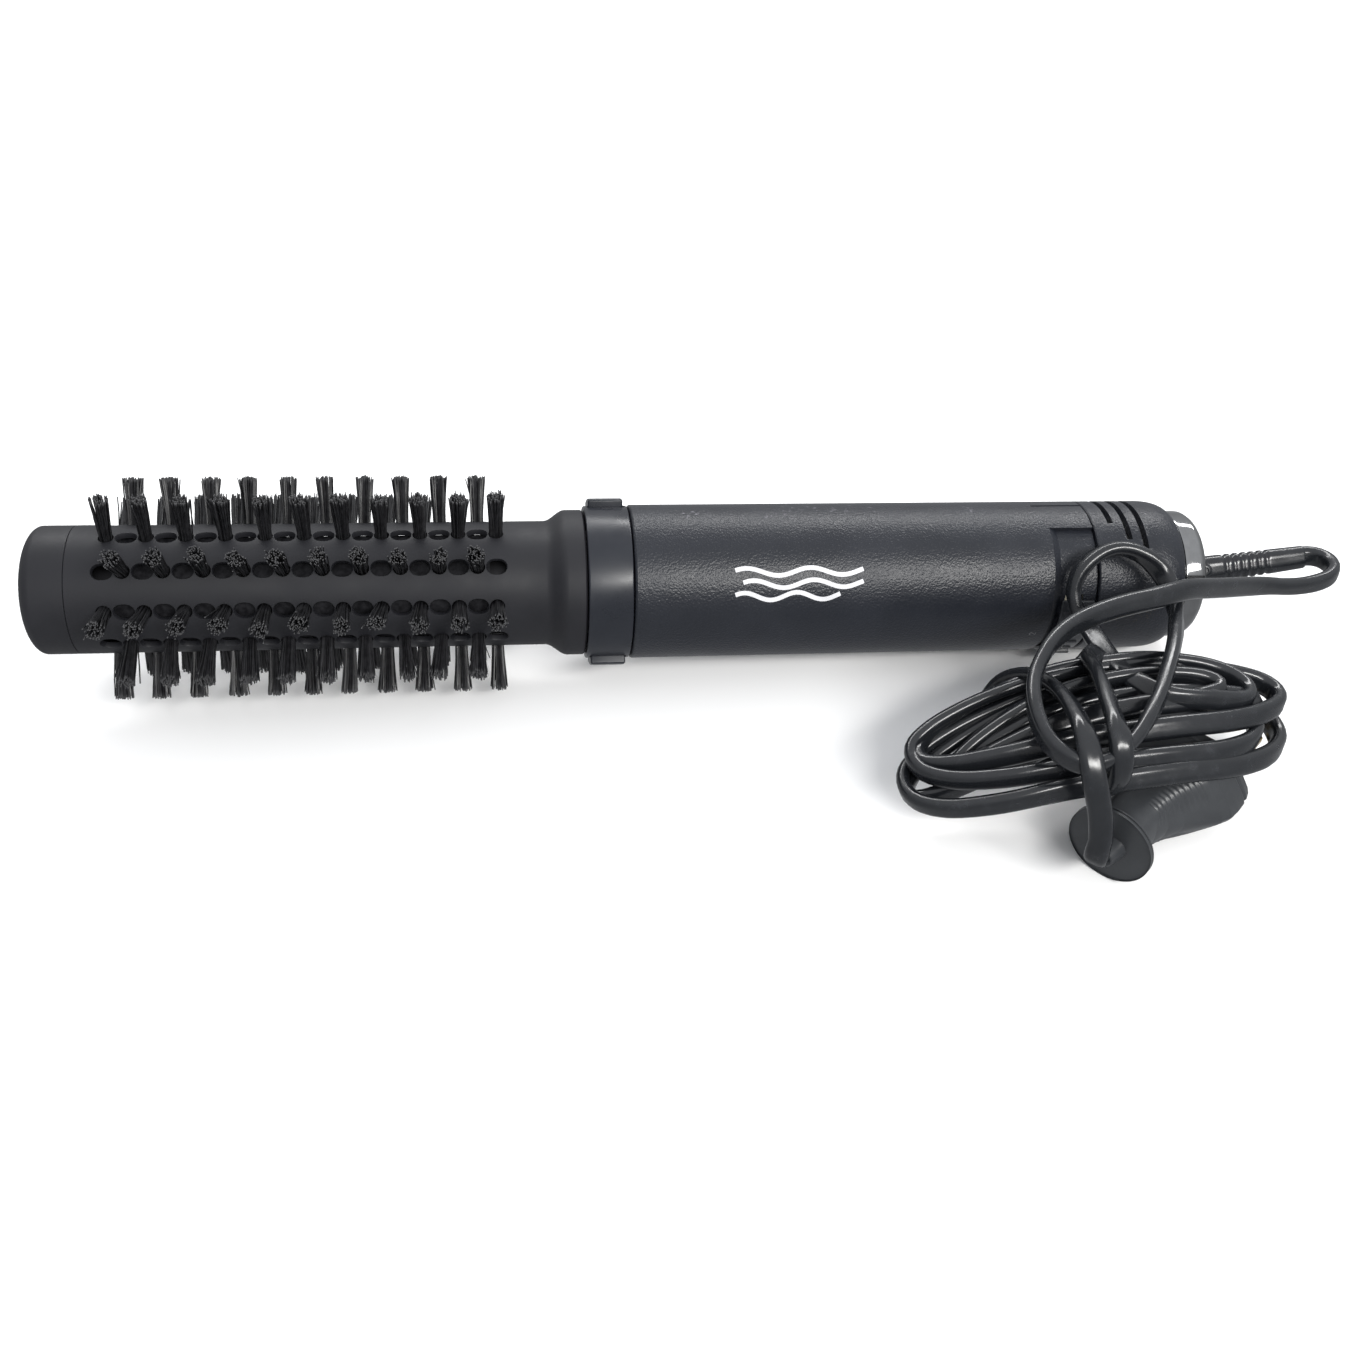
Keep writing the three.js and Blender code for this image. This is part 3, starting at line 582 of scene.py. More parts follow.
def bristle_material():
    """Black nylon whose cut ends are pale. The strip that carries the tufts, at tip -1, is matte."""
    nodes = Nodes("bristle_nylon")
    tip = nodes.add("ShaderNodeAttribute", attribute_name="tip").outputs["Fac"]
    shade = nodes.noise(nodes.object_place(), 700, 2)
    dark = nodes.colours(nodes.ramp(shade, 0.3, 0.7), (0.006, 0.006, 0.007), (0.016, 0.016, 0.018))
    nodes.to("Base Color", nodes.colours(nodes.ramp(tip, 0.93, 1.0), dark, (0.055, 0.055, 0.058)))
    nodes.to("Roughness", nodes.ramp(tip, 0.9, 1.0, 0.38, 0.7))
    nodes.to("Specular IOR Level", nodes.ramp(tip, -1.0, 0.0, 0.04, 0.5))
    nodes.set(IOR=1.5)
    return nodes.material


def cord_material():
    """Glossy PVC, a little uneven in gloss from handling."""
    nodes = Nodes("cord_pvc")
    place = nodes.object_place()
    wear = nodes.noise(place, 260, 6, 0.65)
    nodes.to("Base Color", nodes.colours(nodes.ramp(wear, 0.5, 0.75), CORD_BLACK, lighter(CORD_BLACK, 1.6)))
    nodes.to("Roughness", nodes.ramp(wear, 0.35, 0.75, 0.17, 0.3))
    nodes.to("Normal", nodes.bump(nodes.noise(place, 700, 3), 0.3, 0.00002))
    nodes.set(IOR=1.5)
    return nodes.material


def screen_material():
    """Dark woven steel wire; the mesh's holes are painted dark squares of shade."""
    nodes = Nodes("screen_steel")
    place = nodes.object_place()
    weave_and_hole_shade = nodes.add("ShaderNodeTexBrick")
    weave_and_hole_shade.inputs["Scale"].default_value = 900
    weave_and_hole_shade.inputs["Mortar Size"].default_value = 0.03
    nodes.link(place, weave_and_hole_shade.inputs["Vector"])
    # Dark squares: painted shade in the mesh's holes. Light lines: the wire.
    nodes.to("Base Color", nodes.colours(weave_and_hole_shade.outputs["Fac"], (0.02, 0.02, 0.02), (0.35, 0.35, 0.36)))
    nodes.to("Roughness", nodes.ramp(nodes.noise(place, 300), 0.3, 0.7, 0.3, 0.5))
    nodes.to("Normal", nodes.bump(weave_and_hole_shade.outputs["Fac"], 0.5, 0.0001))
    nodes.set(Metallic=0.8)
    return nodes.material


MATERIALS = {
    "barrel_plastic": moulded("barrel_plastic", DEEP_GREY, 0.56, grain=1600, grain_depth=0.00002, ior=1.36),
    "handle_soft_touch": handle_material(),
    "collar_plastic": moulded("collar_plastic", HANDLE_GREY, 0.32, grain=1400, grain_depth=0.00001),
    "button_plastic": moulded("button_plastic", HANDLE_GREY, 0.32, grain=1400, grain_depth=0.00001),
    "slider_plastic": moulded("slider_plastic", (0.026, 0.028, 0.032), 0.3, grain_depth=0.000008),
    "bristle_nylon": bristle_material(),
    "swivel_plastic": moulded("swivel_plastic", (0.02, 0.021, 0.023), 0.45),
    "cord_pvc": cord_material(),
    "plug_pvc": moulded("plug_pvc", (0.028, 0.030, 0.033), 0.36, grain=1100, grain_depth=0.00002),
    "ivory_plastic": moulded("ivory_plastic", (0.62, 0.58, 0.48), 0.5, mottle=0.9),
    "component_black": moulded("component_black", (0.02, 0.02, 0.02), 0.5),
    "board": moulded("board", (0.22, 0.12, 0.04), 0.5, mottle=1.3),
    "mica": moulded("mica", (0.5, 0.4, 0.24), 0.35, grain=500, mottle=0.7),
    "chrome": metal("chrome", (0.27, 0.272, 0.275), 0.09, spread=0.03),
    "aluminium": metal("aluminium", (0.62, 0.62, 0.63), 0.3),
    # The air guide's near-black colour is painted shade: it stands for the dark seen through the vents.
    "guide_aluminium_painted_shade": metal("guide_aluminium_painted_shade", (0.014, 0.014, 0.015), 0.5),
    "spring_steel": metal("spring_steel", (0.55, 0.55, 0.56), 0.25),
    "screen_steel": screen_material(),
    "motor_steel": metal("motor_steel", (0.5, 0.5, 0.52), 0.3),
    "nichrome": metal("nichrome", (0.33, 0.30, 0.27), 0.4),
    "brass": metal("brass", (0.72, 0.55, 0.25), 0.15),
    "print_silver": moulded("print_silver", (0.62, 0.62, 0.64), 0.4, mottle=0.85),
    "print_grey": moulded("print_grey", (0.16, 0.16, 0.17), 0.5, mottle=0.8),
}


def paint_cad_nodes():
    """Every CAD node that stays visible gets its slot's material."""
    slots = {part["node"]: part["material_slot"] for part in frame["record"]["subparts"]}
    for name, node in frame["nodes"].items():
        node.data.materials.clear()
        node.data.materials.append(MATERIALS[slots[name]])
        node.data.shade_smooth()
        node.data.set_sharp_from_angle(angle=math.radians(35))


# ---- Brush head ----
def is_long(row):
    return row % 2 == 1


def row_angle(row):
    return FIRST_ROW_ANGLE + row * 360 / ROW_COUNT


def tuft_places(row):
    count, first = (LONG_ROW, FIRST_TUFT) if is_long(row) else (LONG_ROW - 1, FIRST_TUFT + TUFT_PITCH / 2)
    return [first + i * TUFT_PITCH for i in range(count)]


def vent_places(row):
    count, first = (LONG_ROW - 1, FIRST_TUFT + TUFT_PITCH / 2) if is_long(row) else (LONG_ROW, FIRST_TUFT)
    return [first + i * TUFT_PITCH for i in range(count)]


def make_tip_cap():
    inner = BARREL_RADIUS - BARREL_WALL - GAP
    wall, face = 1.6, 1.8
    arc = []
    steps = 20
    for i in range(steps + 1):
        turn = math.radians(90 * i / steps)
        radius = TIP_FACE_RADIUS + (BARREL_RADIUS - TIP_FACE_RADIUS) * math.sin(turn)
        arc.append((TIP_ROUND * (1 - math.cos(turn)), radius))
    outline = [(0.0, 0.0)] + arc + [
        (TIP_LENGTH + 0.12, BARREL_RADIUS), (TIP_LENGTH + 0.2, BARREL_RADIUS - 0.08),
        (TIP_LENGTH + 0.2, inner), (TIP_LENGTH + 4, inner), (TIP_LENGTH + 4, inner - wall),
        (face, inner - wall), (face, 0.0),
    ]
    piece = turned("tip_cap_moulding", outline, 160)
    return finish_piece(piece, "brush", "barrel_plastic", ["tip_cap"], smooth=30)


def obround(length, width, steps=7):
    """A slot's outline with round ends, as (along, across) points."""
    reach, radius = (length - width) / 2, width / 2
    points = []
    for side in (1, -1):
        for i in range(steps + 1):
            angle = math.radians(-90 + 180 * i / steps)
            points.append((side * (reach + radius * math.cos(angle)), side * radius * math.sin(angle)))
    return points


def make_barrel():
    inner = BARREL_RADIUS - BARREL_WALL
    start = TIP_LENGTH + GAP
    flare = []
    steps = 8
    for i in range(steps + 1):
        t = i / steps
        ease = t * t * (3 - 2 * t)
        flare.append((FLARE_START + (FLARE_END - FLARE_START) * t, ease))
    rise = SKIRT_RADIUS - BARREL_RADIUS
    spans = 46
    columns = [start + 0.1 + (FLARE_START - 6 - start) * i / spans for i in range(spans + 1)]
    outline = [(start, inner), (start, BARREL_RADIUS - 0.1)]
    outline += [(s, BARREL_RADIUS) for s in columns]
    outline += [(s, BARREL_RADIUS + rise * ease) for s, ease in flare]
    outline += [(BARREL_END - 0.4, SKIRT_RADIUS), (BARREL_END, SKIRT_RADIUS - 0.4)]
    outline += [(BARREL_END, SKIRT_RADIUS - BARREL_WALL)]
    outline += [(s + 1, inner + rise * ease) for s, ease in reversed(flare)]
    outline += [(s, inner) for s in reversed(columns[1:])]
    piece = turned("brush_barrel_moulding", outline, 160)
    vent = obround(VENT_LENGTH, VENT_WIDTH)
    hole = obround(2.01 * TUFT_HOLE_RADIUS, 2 * TUFT_HOLE_RADIUS)
    below = inner - 3.5
    cutters = []
    for row in range(ROW_COUNT):
        angle = row_angle(row)
        cutters += [prism(vent, below, BARREL_RADIUS, 0.25, place, angle) for place in vent_places(row)]
        cutters += [prism(hole, below, BARREL_RADIUS, 0.2, place, angle) for place in tuft_places(row)]
    cut(piece, new_object("cutters", outward(joined_mesh(cutters))))
    return finish_piece(piece, "brush", "barrel_plastic", ["brush_barrel"], smooth=28)


def make_air_guide():
    radius = STRIP_FLOOR - GAP
    inner = radius - 0.6
    outline = [(GUIDE_START, inner), (GUIDE_START, radius), (GUIDE_END, radius), (GUIDE_END, inner)]
    piece = turned("air_guide_sheet", outline, 96)
    start, end = GUIDE_START + GUIDE_SLOT_INSET[0], GUIDE_END - GUIDE_SLOT_INSET[1]
    slots = []
    for row in range(0, ROW_COUNT, 2):
        low, high = row_angle(row) - GUIDE_SLOT_ANGLE, row_angle(row) + GUIDE_SLOT_ANGLE
        slots.append(sector("slot", radius - 3, radius + 3, low, high, start, end, 4))
    cut(piece, merged("slots", slots))
    # Its near-black material is painted shade, for the dark seen through the vents.
    return finish_piece(piece, "brush", "aluminium", ["air_guide_tube"],
                        material="guide_aluminium_painted_shade")


def filament(rng, place, foot_spread, tip_spread):
    """One bristle as a thin four-sided rod, drawn on the front side: points, faces, tip values."""
    turn = rng.uniform(0, 2 * math.pi)
    share = math.sqrt(rng.random())
    foot = Vector((math.cos(turn), 0, math.sin(turn))) * share * foot_spread
    lean = Vector((rng.gauss(0, 0.2), 0, rng.gauss(0, 0.2)))
    if rng.random() < 0.05:
        lean *= 4
    tip = Vector((math.cos(turn), 0, math.sin(turn))) * share * tip_spread + lean
    top = TUFT_TIP_RADIUS - rng.uniform(0, 0.9) - 0.5 * share
    if rng.random() < 0.05:
        top -= rng.uniform(0.5, 1.6)
    steps = 3
    points, tips = [], []
    bow = Vector((rng.gauss(0, 0.12), 0, rng.gauss(0, 0.12)))
    for i in range(steps + 1):
        t = i / steps
        rise = TUFT_FOOT_RADIUS + (top - TUFT_FOOT_RADIUS) * t
        spread = max(0.0, (rise - BARREL_RADIUS) / (top - BARREL_RADIUS))
        centre = Vector((place, -rise, 0)) + foot.lerp(tip, spread ** 1.3) + bow * 4 * spread * (1 - spread)
        for k in range(4):
            angle = turn + k * math.pi / 2
            reach = FILAMENT_RADIUS * (1 if i < steps else 0.9)
            points.append(centre + Vector((math.cos(angle), 0, math.sin(angle))) * reach)
            tips.append(t)
    return points, skin(steps + 1, 4), tips


def make_bristle_row(row):
    rng = random.Random(101 + row)
    turn = Matrix.Rotation(math.radians(-row_angle(row)), 4, "X")
    points, faces, tips = [], [], []
    for place in tuft_places(row):
        sweep = Vector((rng.gauss(0, 0.35), 0, rng.gauss(0, 0.3)))
        for _ in range(FILAMENTS):
            part_points, part_faces, part_tips = filament(rng, place, 1.5, 2.2)
            offset = len(points)
            for point, t in zip(part_points, part_tips):
                rise = max(0.0, (-point.y - BARREL_RADIUS) / (TUFT_TIP_RADIUS - BARREL_RADIUS))
                points.append(turn @ (point + sweep * rise))
                tips.append(t)
            faces += [[i + offset for i in face] for face in part_faces]
    places = tuft_places(row)
    strip_points = []
    for s in (places[0] - STRIP_OVERHANG, places[-1] + STRIP_OVERHANG):
        for radius in (STRIP_FLOOR, TUFT_FOOT_RADIUS):
            for across in (-STRIP_HALF_WIDTH, STRIP_HALF_WIDTH):
                strip_points.append(turn @ Vector((s, -radius, across)))
    strip_faces = [[0, 1, 3, 2], [4, 6, 7, 5], [0, 4, 5, 1], [1, 5, 7, 3], [3, 7, 6, 2], [2, 6, 4, 0]]
    offset = len(points)
    points += strip_points
    tips += [-1.0] * len(strip_points)
    faces += [[i + offset for i in face] for face in strip_faces]
    mesh = mesh_from(points, faces)
    tip = mesh.attributes.new("tip", "FLOAT", "POINT")
    tip.data.foreach_set("value", tips)
    name = f"bristle_row_{row + 1:02d}"
    piece = new_object(name + "_filaments", mesh)
    return finish_piece(piece, "brush", "bristle_nylon", [name], smooth=50)


# ---- Collar, buttons and handle ----
def make_collar():
    inner = COLLAR_RADIUS - COLLAR_WALL
    outline = rounded([
        (COLLAR_START, inner), (COLLAR_START, COLLAR_RADIUS),
        (COLLAR_END, COLLAR_RADIUS), (COLLAR_END, inner),
    ], 0.45)
    piece = turned("locking_collar_ring", outline, 160)
    half = BUTTON_ANGLE / 2 + 2.2
    reach = BUTTON_LENGTH / 2 + GAP
    start, end = COLLAR_MIDDLE - reach, COLLAR_MIDDLE + reach
    windows = [sector("window", 14, 22, angle - half, angle + half, start, end, 8) for angle in (90, -90)]
    cut(piece, merged("windows", windows))
    return finish_piece(piece, "handle", "collar_plastic", ["locking_collar"])


def make_button(side, angle):
    start, end = COLLAR_MIDDLE - BUTTON_LENGTH / 2, COLLAR_MIDDLE + BUTTON_LENGTH / 2
    half = BUTTON_ANGLE / 2
    top = COLLAR_RADIUS + BUTTON_PROUD
    body = sector("body", BUTTON_FLOOR, top, angle - half, angle + half, start, end, 16)
    softened(body, 1.3, 5, 50)
    body.name = f"release_button_{side}_pad"
    return finish_piece(body, f"{side}_button", "button_plastic", [f"release_button_{side}"], smooth=40)


def make_handle_shell():
    inner = HANDLE_RADIUS - HANDLE_WALL
    spans = 24
    columns = [HANDLE_START + 1 + (RECESS_START - 3 - HANDLE_START) * i / spans for i in range(spans + 1)]
    outline = [(HANDLE_START, inner), (HANDLE_START, HANDLE_RADIUS - 0.6)]
    outline += [(HANDLE_START + 0.2, HANDLE_RADIUS - 0.25), (HANDLE_START + 0.6, HANDLE_RADIUS)]
    outline += [(s, HANDLE_RADIUS) for s in columns]
    outline += [(HANDLE_END - 0.25, HANDLE_RADIUS), (HANDLE_END, HANDLE_RADIUS - 0.25), (HANDLE_END, inner)]
    piece = turned("handle_shell_tube", outline, 160)
    low, high = RECESS_ANGLES
    floor = HANDLE_RADIUS - RECESS_DEPTH
    recess = sector("recess", floor, HANDLE_RADIUS + RECESS_DEPTH, low, high, RECESS_START + RECESS_SLOPE,
                    HANDLE_END + 1, 48, 2 * RECESS_SLOPE)
    cut(piece, recess)
    margin = STEM_HALF_ANGLE + 3
    slot_low, slot_high = SLIDER_STEM_ANGLE - margin, SLIDER_STEM_ANGLE + SLIDER_TRAVEL + margin
    slot = sector("slot", inner - 1, HANDLE_RADIUS, slot_low, slot_high, STEM_START - 0.5, STEM_END + 0.5, 12)
    cut(piece, slot)
    key = sector("key", HANDLE_RADIUS - 0.5, HANDLE_RADIUS + 1, *KEY_ANGLES, KEY_START, HANDLE_END + 1, 4)
    cut(piece, key)
    softened(piece, 0.18, 2, 50)
    return finish_piece(piece, "handle", "handle_soft_touch", ["handle_shell"], smooth=30)


def make_slider():
    floor = HANDLE_RADIUS - RECESS_DEPTH + GAP
    crown = HANDLE_RADIUS + 0.1
    start, end = RECESS_START + RECESS_SLOPE + 0.4, HANDLE_END - 0.6
    low, high = SLIDER_ANGLES
    band = sector("band", floor, crown, low, high, start, end, 48)
    softened(band, 0.3, 3, 50)
    low, high = SLIDER_RIDGE_ANGLE - 3, SLIDER_RIDGE_ANGLE + 3
    ridge = sector("ridge", crown - 0.3, crown + 1.2, low, high, start + 0.3, end - 0.3, 6)
    softened(ridge, 0.6, 4, 50)
    ribs = []
    for offset in (-24, -12, 12, 24):
        angle = SLIDER_RIDGE_ANGLE + offset
        rib = sector("rib", crown - 0.2, crown + 0.45, angle - 1, angle + 1, start + 1.2, end - 1.2, 4)
        ribs.append(softened(rib, 0.25, 2, 50))
    low, high = SLIDER_STEM_ANGLE - STEM_HALF_ANGLE, SLIDER_STEM_ANGLE + STEM_HALF_ANGLE
    stem = sector("stem", STEM_FLOOR, floor + 0.3, low, high, STEM_START, STEM_END, 4)
    piece = merged("selector_slider_cap", [band, ridge, stem, *ribs])
    return finish_piece(piece, "selector", "slider_plastic", ["selector_slider"], smooth=40)


def make_rear_housing():
    inner = HANDLE_RADIUS - HANDLE_WALL
    drop = HANDLE_RADIUS - SHOULDER_RADIUS
    outline = [(REAR_START, inner), (REAR_START, HANDLE_RADIUS - 0.25), (REAR_START + 0.25, HANDLE_RADIUS)]
    outline += [(REAR_START + 1 + 2 * i, HANDLE_RADIUS) for i in range(8)]
    steps = 12
    for i in range(steps + 1):
        turn = math.radians(90 * i / steps)
        place = REAR_END - SHOULDER_ROUND * (1 - math.sin(turn))
        outline.append((place, HANDLE_RADIUS - drop * (1 - math.cos(turn))))
    floor, hole = REAR_END - 2, 9
    outline += [(REAR_END, hole), (floor, hole), (floor, inner - 2.5), (floor - 4, inner)]
    piece = turned("rear_housing_shell", outline, 160)
    slots = []
    for place, reach in LOUVRES:
        start, end = place - LOUVRE_WIDTH / 2, place + LOUVRE_WIDTH / 2
        slots.append(sector("slot", inner - 1, HANDLE_RADIUS + 1, 90 - reach, 90 + reach, start, end, 40))
    cut(piece, merged("slots", slots))
    softened(piece, 0.3, 3, 45)
    return finish_piece(piece, "handle", "handle_soft_touch", ["rear_housing"], smooth=30)


def make_chrome_ring():
    start, inner = REAR_END + GAP, SOCKET_RADIUS + GAP
    outline = rounded([
        (start, inner), (start, SHOULDER_RADIUS), (RING_END - 1.6, SHOULDER_RADIUS),
        (RING_END, SHOULDER_RADIUS - 1.0), (RING_END, inner),
    ], 0.5)
    piece = turned("chrome_end_ring", outline, 160)
    return finish_piece(piece, "handle", "chrome", ["chrome_ring"], smooth=45)


def make_swivel_socket():
    start, inner = REAR_END + GAP, SWIVEL_RADIUS + GAP
    outline = rounded([
        (start, inner), (start, SOCKET_RADIUS), (RING_END - 0.8, SOCKET_RADIUS),
        (RING_END - 1.0, SOCKET_RADIUS - 1.8), (RING_END - 2.2, inner),
    ], 0.4)
    piece = turned("swivel_socket_plate", outline, 96)
    return finish_piece(piece, "handle", "swivel_plastic", ["swivel_socket"])


def make_swivel_drum():
    start, shoulder, end = REAR_END - 5, REAR_END - 2.3, RING_END + 0.4
    wall = rounded([
        (start, DRUM_RADIUS), (shoulder, DRUM_RADIUS), (shoulder, SWIVEL_RADIUS), (end, SWIVEL_RADIUS),
    ], 0.5)
    outline = [(start, 0), *wall, (end, 0)]
    piece = turned("swivel_drum_turning", outline, 96)
    return finish_piece(piece, "swivel", "swivel_plastic", ["swivel_drum"])


def make_nozzle():
    inner = NOZZLE_RADIUS - NOZZLE_WALL
    flange = HANDLE_RADIUS - HANDLE_WALL - GAP
    flange_start = COLLAR_END + GAP
    outline = rounded([
        (NOZZLE_START, inner), (NOZZLE_START, NOZZLE_RADIUS - 0.8), (NOZZLE_START + 1.5, NOZZLE_RADIUS - 0.5),
        (flange_start, NOZZLE_RADIUS - 0.5), (flange_start, flange), (flange_start + 2, flange),
        (flange_start + 2, inner),
    ], 0.3)
    piece = turned("outlet_nozzle_tube", outline, 128)
    return finish_piece(piece, "handle", "barrel_plastic", ["outlet_nozzle"])


def make_screen():
    radius = HANDLE_RADIUS - HANDLE_WALL - GAP
    inner = radius - 0.5
    outline = [(SCREEN_START, inner), (SCREEN_START, radius), (SCREEN_END, radius), (SCREEN_END, inner)]
    piece = turned("intake_screen_mesh", outline, 128)
    return finish_piece(piece, "handle", "screen_steel", ["intake_screen"])


# ---- Printed marks ----
def ribbon_on_handle(line, width, lift=0.03):
    """A flat printed line on the handle's skin: line holds (s, height round the skin) points."""
    points, faces = [], []
    radius = HANDLE_RADIUS
    for i, (s, h) in enumerate(line):
        before = Vector(line[max(0, i - 1)])
        after = Vector(line[min(len(line) - 1, i + 1)])
        direction = (after - before).normalized()
        across = Vector((-direction.y, direction.x))
        for side in (-0.5, 0.5):
            at = Vector((s, h)) + across * side * width
            for depth in (-0.02, lift):
                points.append(around(at.x, radius + depth, math.degrees(at.y / radius)))
    for i in range(len(line) - 1):
        a = 4 * i
        for first, second in ((0, 1), (1, 3), (3, 2), (2, 0)):
            faces.append([a + first, a + second, a + 4 + second, a + 4 + first])
    last = 4 * (len(line) - 1)
    faces += [[0, 2, 3, 1], [last + 1, last + 3, last + 2, last]]
    return points, faces


def make_air_mark():
    """Three waves, a plain sign for warm air, where the handle is printed."""
    parts = []
    centre, middle, spacing, swing = 191.5, -1.2, 3.1, 0.95
    for k, (start, length) in enumerate(((-17.5, 33), (-15.5, 31), (-17.5, 27))):
        height = middle + spacing * (1 - k)
        line = []
        steps = 48
        for i in range(steps + 1):
            t = i / steps
            wave = swing * math.sin(4 * math.pi * t + 0.5)
            line.append((centre + start + length * t, height + wave))
        parts.append(ribbon_on_handle(line, 1.15))
    piece = new_object("air_flow_mark", outward(joined_mesh(parts)))
    return finish_piece(piece, "handle", "handle_soft_touch", material="print_silver")


NUMERALS = {
    "0": [[(math.cos(math.radians(a)) * 0.5, math.sin(math.radians(a)) * 0.8) for a in range(0, 361, 30)]],
    "1": [[(-0.3, 0.45), (0.05, 0.8), (0.05, -0.8)]],
    "2": [[(-0.45, 0.4), (-0.3, 0.7), (0.0, 0.8), (0.35, 0.65), (0.42, 0.35), (0.2, 0.0), (-0.45, -0.8),
           (0.45, -0.8)]],
}


def make_position_marks():
    """The selector's positions 0, 1 and 2 beside the recess."""
    parts = []
    column = 254.6
    for digit, angle in (("0", -86), ("1", -68), ("2", -50)):
        for stroke in NUMERALS[digit]:
            at = math.radians(angle) * HANDLE_RADIUS
            line = [(column - y, at + x * 1.1) for x, y in stroke]
            parts.append(ribbon_on_handle(line, 0.22))
    piece = new_object("position_marks", outward(joined_mesh(parts)))
    return finish_piece(piece, "handle", "handle_soft_touch", material="print_grey")


# ---- Strain relief, cord and plug ----
def flat_section(width, thickness, steps=7):
    """A flat bar with round edges: (across, through) points."""
    radius = thickness / 2
    reach = width / 2 - radius
    points = []
    for side in (1, -1):
        for i in range(steps + 1):
            angle = math.radians(-90 + 180 * i / steps)
            points.append((side * (reach + radius * math.cos(angle)), side * radius * math.sin(angle)))
        points.append((side * reach * 0.4, side * radius))
        points.append((-side * reach * 0.4, side * radius))
    return points


def sweep(points, widths, sections):
    """Skins a line with one section per point. widths gives the direction of each section's width."""
    coordinates = []
    for i, centre in enumerate(points):
        ahead = points[min(i + 1, len(points) - 1)] - points[max(i - 1, 0)]
        through = ahead.cross(widths[i]).normalized()
        for x, y in sections[i]:
            coordinates.append(centre + widths[i] * x + through * y)
    return coordinates, skin(len(points), len(sections[0]))


def lying_flat(points, start_width):
    """Width directions along a flat cord: carried along without twist, and drawn towards the
    direction that the cord bends over most easily."""
    tangents = []
    for i in range(len(points)):
        tangents.append((points[min(i + 1, len(points) - 1)] - points[max(i - 1, 0)]).normalized())
    widths = [Vector(start_width)]
    widths[0] = (widths[0] - tangents[0] * widths[0].dot(tangents[0])).normalized()
    for i in range(1, len(points)):
        turn = tangents[i - 1].rotation_difference(tangents[i])
        width = turn @ widths[-1]
        bend = tangents[i] - tangents[i - 1]
        axis = tangents[i].cross(bend)
        if axis.length > 1e-4:
            axis = axis.normalized() if axis.dot(width) > 0 else -axis.normalized()
            strength = min(0.3, BEND_PULL * bend.length)
            width = width.lerp(axis, strength)
        widths.append((width - tangents[i] * width.dot(tangents[i])).normalized())
    return widths


def relief_frame():
    """The strain relief's start, direction and width direction in the row frame."""
    lift = math.radians(RELIEF_LIFT)
    start = STYLER @ Vector((RELIEF_START, 0, 0))
    along = (STYLER.to_3x3() @ Vector((math.cos(lift), 0, math.sin(lift)))).normalized()
    wide = (STYLER.to_3x3() @ Vector((-math.sin(lift), 0, math.cos(lift)))).normalized()
    return start, along, wide


def make_strain_relief():
    start, along, wide = relief_frame()
    points, widths, sections = [], [], []
    steps = 144
    for i in range(steps + 1):
        d = RELIEF_LENGTH * i / steps
        width = RELIEF_WIDTH - 1.8 * (d / RELIEF_LENGTH)
        thick = RELIEF_THICKNESS - 0.9 * (d / RELIEF_LENGTH)
        phase = (d - FIRST_RIB) / RIB_PITCH
        if 0 <= phase <= RIB_COUNT:
            pinch = 0.5 - 0.5 * math.cos(2 * math.pi * phase)
            width -= 1.0 * pinch ** 1.5
            thick -= 0.7 * pinch ** 1.5
        edge = min(d, RELIEF_LENGTH - d)
        if edge < RELIEF_ROUND:
            ease = math.sqrt(1 - (1 - edge / RELIEF_ROUND) ** 2)
            width -= 0.9 * (1 - ease)
            thick -= 0.9 * (1 - ease)
        points.append(start + along * d * MM)
        widths.append(wide)
        sections.append([(x * MM, y * MM) for x, y in flat_section(width, thick)])
    coordinates, faces = sweep(points, widths, sections)
    facing = along.cross(wide).normalized()
    pivot = start + along * RIVET_PLACE * MM
    offset = len(coordinates)
    count = 24
    for out, radius in RIVET:
        for k in range(count):
            angle = 2 * math.pi * k / count
            rim = along * math.cos(angle) + wide * math.sin(angle)
            coordinates.append(pivot + (facing * out + rim * radius) * MM)
    faces += skin(len(RIVET), count, offset)
    piece = new_object("strain_relief_sleeve", outward(mesh_from(coordinates, faces)))
    return finish_piece(piece, "swivel", "cord_pvc", ["strain_relief"], 40, local=False)


# The cord's route in millimetres: from the strain relief round the wide bight, under
# the bundle's front, up the small ring and into the bundle.
LEAD_ROUTE = [
    (167.3, 2.7, 20.7), (170.3, 2.6, 21.0), (173.0, 1.7, 21.3), (174.7, -1.6, 21.6), (174.3, -5.6, 22.0),
    (170.6, -9.3, 22.0), (161.1, -12.4, 22.6), (148.3, -15.0, 25.5), (130.7, -23.8, 33.0),
    (116.0, -31.9, 39.7), (106.2, -36.5, 41.5), (96.4, -39.4, 42.0), (88.0, -42.5, 42.0),
    (80.6, -46.2, 41.5), (74.5, -51.4, 40.5), (70.4, -56.9, 39.0), (67.3, -64.5, 38.0), (66.4, -71.0, 37.0),
    (66.9, -76.6, 36.0), (69.5, -81.5, 35.0), (74.5, -84.3, 34.2), (80.5, -83.0, 34.2), (86.2, -78.9, 35.0),
]
LOOP_ROUTE = [
    (91.6, -73.6, 36.3), (97.2, -66.2, 36.5), (103.0, -56.9, 36.5), (109.3, -45.5, 36.0),
    (115.6, -30.9, 33.8), (116.1, -22.9, 35.5), (112.0, -18.9, 39.5), (104.6, -16.5, 42.0),
    (97.1, -17.7, 40.5), (92.9, -19.9, 36.0), (92.1, -22.8, 31.5), (93.7, -26.1, 28.5), (94.6, -34.0, 28.0),
    (95.0, -44.0, 29.0), (96.6, -53.8, 31.0), (101.5, -60.5, 31.5), (112.0, -61.5, 30.0),
]
